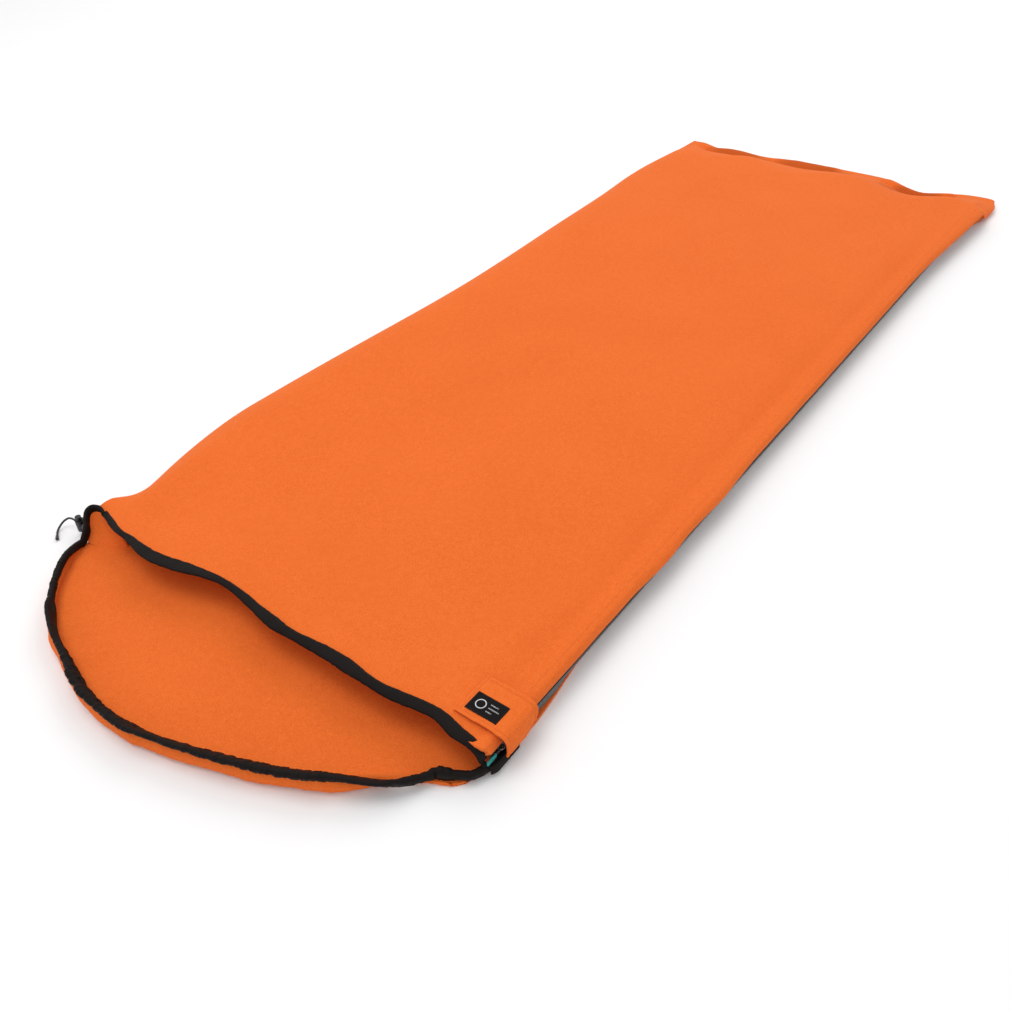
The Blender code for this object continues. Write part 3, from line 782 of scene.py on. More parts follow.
# %% Edging path
rim_centres = []
for point in rim[::6]:
    _, away = into_hood(point.x, point.y)
    inset = mix(0.0080, 0.0018, smoothstep((point.x - 0.25) / 0.07)) + hood_tuck(point.x)
    lifted = 0.0098 + 0.0127 * rim_lift(point.y) * low_rim(point.x)
    rim_centres.append(Vector((point.x + away.x * inset, point.y + away.y * inset, lifted)))
zip_end = (Vector((0.3695, -0.8120, 0.0085)), Vector((0.3680, -0.8210, 0.0085)),
           Vector((0.3650, -0.8315, 0.0086)),
           Vector((0.3608, -0.8425, 0.0090)), Vector((0.3540, -0.8525, 0.0094)))
loop_end = (Vector((-0.3150, -0.8505, 0.0190)), Vector((-0.3235, -0.8430, 0.0250)),
            Vector((-0.3285, -0.8345, 0.0305)),
            Vector((-0.3255, -0.8268, 0.0352)), Vector((-0.3150, -0.8225, 0.0365)),
            Vector((-0.3040, -0.8250, 0.0352)))
edging_route = [*zip_end, *rim_centres[4:-2], *loop_end]
edging_centres = even_steps(smooth_route(edging_route, 1600), 820)
edging_length = sum((b - a).length for a, b in zip(edging_centres, edging_centres[1:]))
print("edging length:", round(edging_length, 3), "m")

# %% Edging's section
# Rows: place along the edging from the zip side, then a number for how tall, how thick and how ruffled it is.
EDGING_TALL = ((0.0, 0.0060), (0.02, 0.0066), (0.06, 0.0076), (0.080, 0.0110), (0.100, 0.0066),
               (0.12, 0.0080),
               (0.14, 0.0112), (0.19, 0.0116), (0.215, 0.0084), (0.235, 0.0130), (0.255, 0.0096),
               (0.33, 0.0116),
               (0.42, 0.0108), (0.435, 0.0080), (0.455, 0.0120), (0.50, 0.0112), (0.52, 0.0084),
               (0.60, 0.0098),
               (0.645, 0.0066), (0.68, 0.0060), (0.705, 0.0096), (0.755, 0.0104), (0.785, 0.0056),
               (0.86, 0.0050),
               (0.91, 0.0056), (0.93, 0.0074), (0.965, 0.0082), (0.985, 0.0064), (1.0, 0.0036))
EDGING_THICK = ((0.0, 0.0038), (0.05, 0.0044), (0.085, 0.0050), (0.11, 0.0040), (0.17, 0.0034),
                (0.235, 0.0046),
                (0.44, 0.0036), (0.55, 0.0042), (0.66, 0.0042), (0.72, 0.0034), (0.80, 0.0038),
                (0.94, 0.0034),
                (1.0, 0.0026))
EDGING_RUFFLE = ((0.0, 0.3), (0.06, 0.8), (0.12, 0.9), (0.17, 0.25), (0.235, 1.1), (0.38, 1.0), (0.44, 0.3),
                 (0.50, 1.0), (0.64, 1.1), (0.70, 0.3), (0.75, 0.2), (0.80, 0.8), (0.93, 0.2), (1.0, 0.1))
EDGING_LEAN = ((0.0, 0.10), (0.10, 0.30), (0.16, 0.68), (0.40, 0.75), (0.60, 0.62), (0.68, 0.25),
               (0.74, 0.30),
               (0.82, 0.10), (1.0, 0.0))


def edging_section(turn, place):
    swing = math.tau * turn
    run = place * edging_length
    ruffle = between(EDGING_RUFFLE, place)
    tall = between(EDGING_TALL, place) * (1.0 + 0.13 * ruffle * drift(20, run / 0.013))
    thick = between(EDGING_THICK, place) * (1.0 + 0.20 * ruffle * drift(21, run / 0.010))
    squared = 0.80
    out = thick * math.copysign(abs(math.cos(swing)) ** squared, math.cos(swing))
    lift = tall * math.copysign(abs(math.sin(swing)) ** squared, math.sin(swing))
    pleat = 1.0 - 2.0 * abs(drift(22, run / 0.0062, 0.5 * math.sin(swing))) ** 0.7
    fold = pleat + 0.7 * drift(26, run / 0.0115, swing * 0.3) + 0.5 * drift(23, run / 0.0034, swing * 1.7)
    frill = max(math.sin(swing), 0.0)
    grow = 1.0 + ruffle * fold * (0.20 + 0.05 * frill)
    lean = between(EDGING_LEAN, place) + 0.16 * drift(24, run / 0.040)
    out, lift = out * grow, lift * (1.0 + ruffle * fold * (0.05 + 0.09 * frill))
    return out * math.cos(lean) - lift * math.sin(lean), out * math.sin(lean) + lift * math.cos(lean)


edging = rolled_grid("hood_edging", 24, edging_centres, edging_section, size=(0.034, edging_length))
for vert in edging.data.vertices:
    vert.co.z = max(vert.co.z, 0.0005)
print("edging:", len(edging.data.polygons), "faces")

# %% [markdown]
# ## The drawcord inside
# The cord runs hidden in the channel. It shows only at the channel's end, so a plain braided tube is enough.

# %% Drawcord inside
CORD_R = 0.0015
inner_points = [point.copy() for point in edging_centres[24:-40:3]]


def cord_section(turn, place):
    return CORD_R * math.cos(math.tau * turn), CORD_R * math.sin(math.tau * turn)


inner_cord = rolled_grid("drawcord_inside", 12, inner_points, cord_section,
                         size=(math.tau * CORD_R, edging_length))
print("hidden drawcord:", len(inner_cord.data.polygons), "faces")

# %% [markdown]
# ## The collar tape
# The cover's head edge is bound with the same black cloth, folded over the fleece. It lies across the whole
# opening, sags and turns a little, so some stretches catch the light on their flat face. At the zip side it
# turns down to the corner.

# %% Collar wave
# x, y and z of the tape's middle, where it sags, rises and turns
COLLAR_LINE = ((-0.320, -0.822, 0.035), (-0.240, -0.839, 0.040), (-0.175, -0.847, 0.045),
               (-0.050, -0.825, 0.044), (0.070, -0.838, 0.044), (0.150, -0.835, 0.045),
               (0.220, -0.838, 0.045), (0.296, -0.829, 0.045), (0.335, -0.835, 0.043), (0.370, -0.836, 0.040))
COLLAR_HALF = ((-0.311, 0.0044), (-0.270, 0.0046), (-0.240, 0.0040), (-0.210, 0.0062), (-0.170, 0.0084),
               (-0.120, 0.0090), (-0.080, 0.0062), (-0.050, 0.0046), (0.000, 0.0058), (0.050, 0.0076),
               (0.080, 0.0058), (0.140, 0.0076), (0.170, 0.0084), (0.200, 0.0062), (0.250, 0.0070),
               (0.290, 0.0070), (0.312, 0.0078), (0.333, 0.0072), (0.350, 0.0062), (0.372, 0.0046))
COLLAR_TILT = ((-0.320, 0.20), (-0.250, 0.75), (-0.200, 0.60), (-0.150, 0.10), (-0.090, -0.05),
               (-0.045, 0.80),
               (0.020, 0.55), (0.080, 0.95), (0.150, 0.65), (0.230, 0.90), (0.300, 0.60), (0.372, 0.85))


def collar_centre(x):
    return Vector((x, between([row[:2] for row in COLLAR_LINE], x),
                   between([row[::2] for row in COLLAR_LINE], x)))


collar_route = [collar_centre(-0.305 + 0.0104 * i) for i in range(63)]
collar_route += [Vector((0.3515, -0.8350, 0.0390)), Vector((0.3585, -0.8352, 0.0330)),
                 Vector((0.3615, -0.8352, 0.0255)), Vector((0.3618, -0.8350, 0.0170))]
collar_centres = even_steps(smooth_route(collar_route, 1200), 480)
collar_length = sum((b - a).length for a, b in zip(collar_centres, collar_centres[1:]))


# %% Collar tape
def collar_section(turn, place):
    swing = math.tau * turn
    x = collar_centres[int(round(place * 479))].x
    run = place * collar_length
    half = between(COLLAR_HALF, x) * (1.0 + 0.10 * drift(30, run / 0.016))
    thick = 0.0021 * (1.0 + 0.25 * drift(31, run / 0.012))
    out = half * math.copysign(abs(math.cos(swing)) ** 0.62, math.cos(swing))
    lift = thick * math.copysign(abs(math.sin(swing)) ** 0.85, math.sin(swing))
    crease = 1.0 + 0.07 * drift(32, run / 0.006, swing * 0.6)
    seam = hill(out / half, -0.55, 0.10) * max(math.sin(swing), 0.0)
    lift -= 0.00045 * seam
    lean = between(COLLAR_TILT, x) * 0.55
    out, lift = out * crease, lift * crease
    return out * math.cos(lean) + lift * math.sin(lean), -out * math.sin(lean) + lift * math.cos(lean)


collar = rolled_grid("collar_tape", 28, collar_centres, collar_section, size=(0.036, collar_length))
print("collar tape:", round(collar_length, 3), "m,", len(collar.data.polygons), "faces")

# %% [markdown]
# ## The cover follows its collar
# The cover's head edge has to sit inside the tape's fold, so the cover's first rows take the tape's wave.

# %% Cover's head edge
for vert in cover.data.vertices:
    near = (1.0 - smoothstep((vert.co.y - COVER_Y) / 0.085)) * smoothstep((vert.co.x + 0.350) / 0.030)
    near *= smoothstep((ZIP_X + 0.006 - vert.co.x) / 0.008)
    if near > 0.0 and vert.co.z > 0.012:
        spot = collar_centre(min(vert.co.x, 0.350))
        hem = 1.0 - smoothstep((vert.co.y - COVER_Y) / 0.020)
        vert.co.y += (spot.y - COLLAR_Y) * near - 0.0052 * near * hem
        vert.co.z += (spot.z - cover_height(spot.x, COVER_Y)) * near - 0.0010 * near * hem

# %% [markdown]
# ## The fold under the loop
# Where the fold side ends, its cloth rises from the hood's floor up to the loop and the collar. It is a
# small curved sheet between two lines: one under the black edging, one on the floor.

# %% Loop cloth
LOOP_TOP = ((-0.3150, -0.8500, 0.0170), (-0.3225, -0.8428, 0.0230), (-0.3270, -0.8345, 0.0278),
            (-0.3240, -0.8275, 0.0318), (-0.3140, -0.8240, 0.0330), (-0.3020, -0.8255, 0.0325),
            (-0.2860, -0.8285, 0.0335), (-0.2680, -0.8315, 0.0350))
LOOP_LOW = ((-0.3140, -0.8530, 0.0110), (-0.3080, -0.8570, 0.0060), (-0.3000, -0.8570, 0.0030),
            (-0.2920, -0.8545, 0.0022), (-0.2830, -0.8500, 0.0020), (-0.2740, -0.8440, 0.0020),
            (-0.2640, -0.8370, 0.0020), (-0.2540, -0.8310, 0.0020))
loop_top = smooth_route([Vector(p) for p in LOOP_TOP], 61)
loop_low = smooth_route([Vector(p) for p in LOOP_LOW], 61)


def loop_place(across, along):
    step = int(round(along * 60))
    spot = loop_low[step].lerp(loop_top[step], across)
    hollow = math.sin(math.pi * across)
    spot += Vector((-0.0030, 0.0045, -0.0015)) * hollow * math.sin(math.pi * along) ** 0.5
    spot.z += 0.0009 * hollow * drift(27, along * 5.0, across * 2.0)
    return spot


loop_cloth = cloth_grid("loop_cloth", 24, 60, loop_place, size=(0.035, 0.070))
thicken(loop_cloth, 0.0030)
for vert in loop_cloth.data.vertices:
    vert.co.z = max(vert.co.z, 0.0008)
print("loop cloth:", len(loop_cloth.data.polygons), "faces")

# %% [markdown]
# ## The corner patch
# Where the zip begins, a scrap of the black cloth closes the corner. It is flat on the fleece and turned
# up beside the zip, with its raw edges folded under.

# %% Corner patch
PATCH_SECTION = ((0.0030, 0.0050), (0.0024, 0.0105), (0.0006, 0.0146), (-0.0022, 0.0142), (-0.0036, 0.0100),
                 (-0.0050, 0.0062), (-0.0085, 0.0056), (-0.0098, 0.0068), (-0.0100, 0.0128))


def patch_place(across, along):
    spot = along_path(PATCH_SECTION, across)
    y = mix(-0.8345, -0.7885, along)
    edge = lip_side(y)
    ruffle = 0.0004 * drift(35, y * 90.0, across * 2.0)
    x = mix(edge + spot.x, ZIP_X + 0.0024, smoothstep((across - 0.60) / 0.25))
    return Vector((x + ruffle, y + 0.0006 * math.sin(across * 5.0), spot.y + ruffle))


patch = cloth_grid("corner_cloth", 40, 40, patch_place, size=(0.034, 0.046))
thicken(patch, 0.0012)

# %% [markdown]
# ## The zip's lower tape
# The lower tape's free edge is sewn to the bottom layer. Near the hood it stands up straight, further down
# it curls under the bag with the cloth, which a straight strip couldn't show, so it is a sheet of its own.

# %% Lower tape
tape_low, tape_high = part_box("zip_tape_lower")


def tape_place(across, along):
    y = mix(tape_low.y, tape_high.y, along)
    lean = lip_side(y) - 0.0015
    in_or_out = min(lean - ZIP_X, 0.0)
    t = 1.0 - across
    curl = smoothstep((t - 0.25) / 0.75)
    z = mix(tape_high.z, 0.0046, t) + 0.0012 * curl * (1.0 - curl)
    return Vector((ZIP_X + in_or_out * curl ** 1.4, y, z))


tape = cloth_grid("zip_tape_sewn", 14, 500, tape_place, size=(0.012, tape_high.y - tape_low.y))
thicken(tape, 0.0008)
print("lower tape:", round(tape_high.y - tape_low.y, 3), "m long")

# %% [markdown]
# ## The zip's teeth
# The zip is a coil zip: each side is one nylon thread wound in a long flattened spiral and sewn to its
# tape, and the two spirals mesh. Modelling a spiral as a swept curve gives true teeth for few faces.


# %% Zip coils
def coil(name, side):
    pitch = 0.0015
    first, last = -0.820, ZIP_END_Y
    turns = int((last - first) / pitch)
    steps = 8
    curve = bpy.data.curves.new(name, "CURVE")
    curve.dimensions = "3D"
    curve.bevel_depth = 0.00034
    curve.bevel_resolution = 0
    curve.use_fill_caps = True
    spline = curve.splines.new("POLY")
    count = turns * steps + 1
    spline.points.add(count - 1)
    for i, point in enumerate(spline.points):
        swing = math.tau * i / steps + (0.0 if side < 0 else math.pi)
        y = first + pitch * i / steps
        z = ZIP_Z + side * (0.00165 - 0.0015 * math.cos(swing))
        point.co = (ZIP_X + 0.0009 * math.sin(swing), y, z, 1.0)
    guide = bpy.data.objects.new(name + "_line", curve)
    bpy.context.scene.collection.objects.link(guide)
    pick(guide)
    bpy.ops.object.convert(target="MESH")
    item = name_piece(name)
    item.data.shade_smooth()
    print(name, turns, "teeth,", len(item.data.polygons), "faces")
    return item


coil_low = coil("zip_teeth_lower", -1)
coil_high = coil("zip_teeth_upper", 1)

# %% [markdown]
# ## The pull's grip
# A soft moulded tag is fixed over the metal tab: rounded, thicker at its rim, with cross ribs for cold
# fingers. It starts as a box that is bevelled, and the ribs are small bevelled rods joined onto one side.

# %% Grip
grip_low, grip_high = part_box("pull_grip")
grip_middle = (grip_low + grip_high) / 2
grip_size = grip_high - grip_low
deselect()
bpy.ops.mesh.primitive_cube_add(size=1.0, location=grip_middle, scale=grip_size)
grip = name_piece("pull_grip_moulded")
settle(grip)
bpy.ops.object.mode_set(mode="EDIT")
bpy.ops.mesh.select_all(action="SELECT")
bpy.ops.mesh.bevel(offset=0.0009, segments=4, affect="EDGES")
bpy.ops.object.mode_set(mode="OBJECT")
ribs = []
for i in range(6):
    deselect()
    y = mix(grip_low.y + 0.0035, grip_high.y - 0.0035, i / 5)
    bpy.ops.mesh.primitive_cylinder_add(vertices=12, radius=0.00045, depth=grip_size.z * 0.72,
                                        location=(grip_high.x - 0.0001, y, grip_middle.z))
    rib = bpy.context.object
    bpy.ops.object.mode_set(mode="EDIT")
    bpy.ops.mesh.select_all(action="SELECT")
    bpy.ops.mesh.bevel(offset=0.00015, segments=2, affect="EDGES")
    bpy.ops.object.mode_set(mode="OBJECT")
    ribs.append(rib)
deselect()
for rib in ribs:
    rib.select_set(True)
grip.select_set(True)
bpy.context.view_layer.objects.active = grip
bpy.ops.object.join()
settle(grip)
bpy.ops.object.shade_smooth_by_angle(angle=math.radians(40))
print("grip size:", [round(value, 4) for value in grip_size])

# %% [markdown]
# ## The flap over the slider
# A doubled strip of fleece is sewn to the cover near the corner and folds down over the zip's head end, so
# the slider can't snag. The woven label is sewn on it. It is hemmed all round, so its edge is a soft roll
# with a dent where the stitches pull it down.

# %% Flap
flap_low, flap_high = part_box("garage_flap")
FLAP_SECTION = (
    (0.3092, 0.0450), (0.3115, 0.0466), (0.3160, 0.0470), (0.3330, 0.0472), (0.3600, 0.0470),
    (0.3705, 0.0462), (0.3752, 0.0436), (0.3780, 0.0390), (0.3790, 0.0320), (0.3788, 0.0250),
                (0.3780, 0.0185),
)
FLAP_WIDTH = sum(math.dist(a, b) for a, b in zip(FLAP_SECTION, FLAP_SECTION[1:]))
FLAP_LENGTH = flap_high.y - flap_low.y - 0.0024
FLAP_THICK = 0.0022


def flap_dent(distance):
    """The hem's section: a full roll at the edge and a dent where it is sewn down."""
    return 0.0005 * hill(distance, 0.0018, 0.0016) - 0.0006 * hill(distance, 0.0048, 0.0011)


def flap_place(across, along):
    spot = along_path(FLAP_SECTION, across)
    ahead = along_path(FLAP_SECTION, min(across + 0.01, 1.0)) - along_path(FLAP_SECTION,
                                                                           max(across - 0.01, 0.0))
    out = Vector((-ahead.y, 0.0, ahead.x)).normalized()
    y = mix(flap_low.y + 0.0012, flap_high.y - 0.0012, along)
    edge = min(across, 1.0 - across) * FLAP_WIDTH
    end = min(along, 1.0 - along) * FLAP_LENGTH
    puff = flap_dent(edge) + flap_dent(end) + 0.0005 * drift(40, across * 6.0, along * 5.0)
    puff -= 0.0009 * hill(across, 0.80, 0.05) * smoothstep(end / 0.01)
    if out.z < 0.5:
        puff = min(puff, 0.0003)
    wave = 0.0008 * drift(41, across * 7.0) * (1.0 - along)
    back = smoothstep((across - 0.62) / 0.38) * smoothstep((along - 0.55) / 0.45)
    return Vector((spot.x - 0.0042 * back, y - wave, spot.y)) + out * puff


flap = cloth_grid("slider_flap", 110, 60, flap_place, size=(FLAP_WIDTH, FLAP_LENGTH))
thicken(flap, FLAP_THICK)
print("flap cut:", round(FLAP_WIDTH, 4), "by", round(FLAP_LENGTH, 4))

# %% [markdown]
# ## The label
# A small satin-woven label is sewn on flat, with folded ends. Its mark is a plain one made for this
# lesson: a ring beside three short bars, raised like embroidery. It has no words.

# %% Label
label_low, label_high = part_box("woven_label")
LABEL_WIDTH = label_high.x - label_low.x
LABEL_LENGTH = label_high.y - label_low.y
label_z = (label_low.z + label_high.z) / 2


def label_lift(x, y):
    return 0.00010 * drift(43, x * 60.0, y * 60.0)


def label_place(across, along):
    x = mix(label_low.x, label_high.x, across)
    y = mix(label_low.y, label_high.y, along)
    end = min(across, 1.0 - across) * LABEL_WIDTH
    z = label_z - 0.00005 + label_lift(x, y) - 0.0004 * (1.0 - smoothstep(end / 0.0016))
    return Vector((x, y, z))


label = cloth_grid("label_cloth", 84, 52, label_place, size=(LABEL_WIDTH, LABEL_LENGTH))
thicken(label, 0.0005)

deselect()
mark_z = label_z + 0.00022
ring_x, ring_y = label_low.x + 0.0125, (label_low.y + label_high.y) / 2
bpy.ops.mesh.primitive_torus_add(location=(ring_x, ring_y, mark_z), major_radius=0.0058, minor_radius=0.00062,
                                 major_segments=48, minor_segments=8)
mark = name_piece("label_mark")
bars = []
for i, reach in enumerate((0.0100, 0.0140, 0.0075)):
    deselect()
    bpy.ops.mesh.primitive_cylinder_add(vertices=12, radius=0.00075, depth=reach,
                                        location=(label_low.x + 0.0225 + reach / 2,
                                                  ring_y + 0.0050 * (1 - i), mark_z),
                                        rotation=(0.0, math.pi / 2, 0.0))
    bar = bpy.context.object
    bpy.ops.object.mode_set(mode="EDIT")
    bpy.ops.mesh.select_all(action="SELECT")
    bpy.ops.mesh.bevel(offset=0.0004, segments=2, affect="EDGES")
    bpy.ops.object.mode_set(mode="OBJECT")
    bars.append(bar)
deselect()
for bar in bars:
    bar.select_set(True)
mark.select_set(True)
bpy.context.view_layer.objects.active = mark
bpy.ops.object.join()
settle(mark)
for vert in mark.data.vertices:
    vert.co.z = mark_z + (vert.co.z - mark_z) * 0.35
mark.data.shade_smooth()
print("label:", round(LABEL_WIDTH, 4), "by", round(LABEL_LENGTH, 4))

# %% [markdown]
# ## The free cord
# The drawcord leaves the channel through a small eyelet at the fold side, goes through the spring lock,
# drops to the ground and ends in a moulded bell. It is about 3 mm thick and limp, so it bends by its own
# weight. Its route repeats the rigid model's.

# %% Free cord
TAIL_ROUTE = (
    (-0.3272, -0.8460, 0.0160), (-0.3380, -0.8460, 0.0160), (-0.3480, -0.8460, 0.0160),
    (-0.3570, -0.8460, 0.0158), (-0.3660, -0.8475, 0.0135), (-0.3715, -0.8530, 0.0090),
    (-0.3715, -0.8610, 0.0045), (-0.3670, -0.8680, 0.0024), (-0.3600, -0.8730, 0.0022),
)
tail_path = smooth_route(TAIL_ROUTE, 33)
tail_points = smooth_route(TAIL_ROUTE, 129)
tail_length = sum((b - a).length for a, b in zip(tail_points, tail_points[1:]))


def tail_section(turn, place):
    swing = math.tau * turn
    braid = math.sin(swing * 4 + place * 190.0) * math.sin(swing * 4 - place * 190.0)
    size = CORD_R * (0.97 + 0.035 * braid)
    return size * math.cos(swing), size * math.sin(swing)


tail = rolled_grid("drawcord_free", 32, tail_points, tail_section, size=(math.tau * CORD_R, tail_length))
print("free cord:", round(tail_length, 4), "m")

# %% [markdown]
# ## The lock's spring
# A steel spring is pressed flat as the plunger goes down. Here the spring is made again as a wire along a
# helix, which rides on the lock.

# %% Spring
spring_low, spring_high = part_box("lock_spring")
WIRE_R, WIRE_LENGTH = 0.00025, 0.05
SPRING_TURNS, TURN_STEPS = 3, 24
SPRING_R = (spring_high.x - spring_low.x) / 2 - WIRE_R
spring_x, spring_y = (spring_low.x + spring_high.x) / 2, (spring_low.y + spring_high.y) / 2
spring_points = []
for i in range(SPRING_TURNS * TURN_STEPS + 1):
    swing = math.tau * i / TURN_STEPS
    height = mix(spring_low.z + WIRE_R, spring_high.z - WIRE_R, i / (SPRING_TURNS * TURN_STEPS))
    out = Vector((math.cos(swing), math.sin(swing), 0.0)) * SPRING_R
    spring_points.append(Vector((spring_x, spring_y, height)) + out)


def wire_section(turn, place):
    return WIRE_R * math.cos(math.tau * turn), WIRE_R * math.sin(math.tau * turn)


spring = rolled_grid("lock_spring_wire", 10, spring_points, wire_section,
                     size=(math.tau * WIRE_R, WIRE_LENGTH))
print("spring:", round(spring_high.z - spring_low.z, 4), "m tall")

# %% [markdown]
# ## The cord's bell
# The cord's cut end is held in a small moulded bell. Its profile is turned round an axis, which is how such
# a part looks when it leaves its mould.

# %% Bell
tail_tip = tail_points[-1]
heading = (tail_points[-1] - tail_points[-3])
heading.z = 0.0
heading.normalize()
BELL = ((-0.0004, 0.0016), (0.0000, 0.0019), (0.0016, 0.0020), (0.0020, 0.0017), (0.0026, 0.0017),
        (0.0030, 0.0021),
        (0.0062, 0.0024), (0.0078, 0.0023), (0.0084, 0.0019), (0.0085, 0.0009))
deselect()
bpy.ops.mesh.primitive_circle_add(vertices=28, radius=BELL[0][1], fill_type="NGON")
bell = name_piece("cord_bell")
bpy.ops.object.mode_set(mode="EDIT")
bpy.ops.mesh.select_all(action="SELECT")
for before, after in zip(BELL, BELL[1:]):
    bpy.ops.mesh.extrude_region_move(TRANSFORM_OT_translate={"value": (0, 0, after[0] - before[0])})
    bpy.ops.transform.resize(value=(after[1] / before[1],) * 2 + (1.0,), center_override=(0, 0, 0))
bpy.ops.mesh.select_all(action="SELECT")
bpy.ops.mesh.normals_make_consistent(inside=False)
bpy.ops.object.mode_set(mode="OBJECT")
turned = Vector((0, 0, 1)).rotation_difference(heading).to_matrix().to_4x4()
bell.data.transform(Matrix.Translation((tail_tip.x, tail_tip.y, 0.0026)) @ turned)
pick(bell)
bpy.ops.object.shade_smooth_by_angle(angle=math.radians(35))
print("bell faces:", len(bell.data.polygons))

# %% [markdown]
# ## Stitches
# Thread is what holds all this together. One small stroke of thread is modelled once and copied along four
# seams: round the flap and the label, along the collar tape and beside the zip.


# %% Rows of stitches
def flap_line(start, end, steps=60):
    """Points just on the flap's outer face, from one (across, along) place to another."""
    found = []
    for i in range(steps + 1):
        across, along = mix(start[0], end[0], i / steps), mix(start[1], end[1], i / steps)
        spot = flap_place(across, along)
        ahead = flap_place(min(across + 0.01, 1.0), along) - flap_place(max(across - 0.01, 0.0), along)
        out = Vector((-ahead.z, 0.0, ahead.x)).normalized()
        found.append((spot + out * (FLAP_THICK / 2 + 0.0001), out))
    return found


hem_across = 0.0050 / FLAP_WIDTH
hem_along = 0.0050 / FLAP_LENGTH
flap_rows = flap_line((hem_across, hem_along), (1 - hem_across, hem_along))
flap_rows += flap_line((1 - hem_across, hem_along), (1 - hem_across, 1 - hem_along))[1:]
flap_rows += flap_line((1 - hem_across, 1 - hem_along), (hem_across, 1 - hem_along))[1:]
flap_rows += flap_line((hem_across, 1 - hem_along), (hem_across, hem_along))[1:]
flap_thread = stitches("flap_stitches", flap_rows, 0.0030, 0.0024, 0.00024)

label_top = label_z + 0.00022
corners = [(label_low.x + 0.0012, label_low.y + 0.0012), (label_high.x - 0.0012, label_low.y + 0.0012),
           (label_high.x - 0.0012, label_high.y - 0.0012), (label_low.x + 0.0012, label_high.y - 0.0012)]
label_rows = []
for a, b in zip(corners, corners[1:] + corners[:1]):
    for i in range(20):
        label_rows.append((Vector((mix(a[0], b[0], i / 20), mix(a[1], b[1], i / 20), label_top)),
                           Vector((0, 0, 1))))
label_thread = stitches("label_stitches", label_rows, 0.0019, 0.0015, 0.00016)


# %% Stitches along the collar and the zip
def collar_row(side):
    found = []
    frames = frames_along(collar_centres)
    for i in range(6, 470):
        point, _, sideways, rise = frames[i]
        turn = math.acos(side) / math.tau
        out, lift = collar_section(turn, i / 479)
        normal = (sideways * (side * 0.4) + rise).normalized()
        found.append((point + sideways * out + rise * lift, normal))
    return found


collar_thread = stitches("collar_stitches", collar_row(-0.55), 0.0032, 0.0025, 0.00022)


def zip_row():
    found = []
    for i in range(600):
        y = mix(-0.752, ZIP_END_Y - 0.004, i / 599)
        x = ZIP_X - 0.0062
        rise = 0.0008
        z = cover_height(x, y) + COVER_THICK / 2
        slope = (cover_height(x + rise, y) - cover_height(x - rise, y)) / (2 * rise)
        found.append((Vector((x, y, z + 0.00005)), Vector((-slope, 0.0, 1.0)).normalized()))
    return found


zip_thread = stitches("zip_stitches", zip_row(), 0.0034, 0.0026, 0.00024)

# %% [markdown]
# ## Finishes that are shared
# Several materials need the same effects, so each effect is a node group with its own named inputs. The
# groups give only colours, masks and normals that change over the surface. The shaders stay in the
# materials.


# %% Node helpers
def group(name, inputs, outputs):
    tree = bpy.data.node_groups.new(name, "ShaderNodeTree")
    for label_text, kind, value in inputs:
        socket = tree.interface.new_socket(name=label_text, in_out="INPUT", socket_type=kind)
        if value is not None:
            socket.default_value = value
    for label_text, kind in outputs:
        tree.interface.new_socket(name=label_text, in_out="OUTPUT", socket_type=kind)
    entry = tree.nodes.new("NodeGroupInput")
    leave = tree.nodes.new("NodeGroupOutput")
    return tree, entry, leave


def node(tree, kind, links=None, **settings):
    """Adds a node, sets its settings and sockets, and links what feeds it."""
    made = tree.nodes.new(kind)
    for key, value in settings.items():
        setattr(made, key, value)
    for socket, source in (links or {}).items():
        if isinstance(source, bpy.types.NodeSocket):
            tree.links.new(source, made.inputs[socket])
        else:
            made.inputs[socket].default_value = source
    return made


def math_node(tree, operation, a, b=0.0):
    return node(tree, "ShaderNodeMath", {0: a, 1: b}, operation=operation).outputs[0]


def mix_colours(tree, factor, a, b):
    made = node(tree, "ShaderNodeMix", data_type="RGBA")
    for place, source in ((0, factor), (6, a), (7, b)):
        if isinstance(source, bpy.types.NodeSocket):
            tree.links.new(source, made.inputs[place])
        else:
            made.inputs[place].default_value = source
    return made.outputs[2]


def noise_node(tree, place, scale, detail=3.0, rough=0.55):
    links = {"Vector": place, "Scale": scale, "Detail": detail, "Roughness": rough}
    return node(tree, "ShaderNodeTexNoise", links).outputs["Fac"]


def ramp(tree, value, low, high):
    """0 below low, 1 above high."""
    links = {"Value": value, "From Min": low, "From Max": high, "To Min": 0.0, "To Max": 1.0}
    return node(tree, "ShaderNodeMapRange", links, clamp=True).outputs[0]


print("node helpers ready")
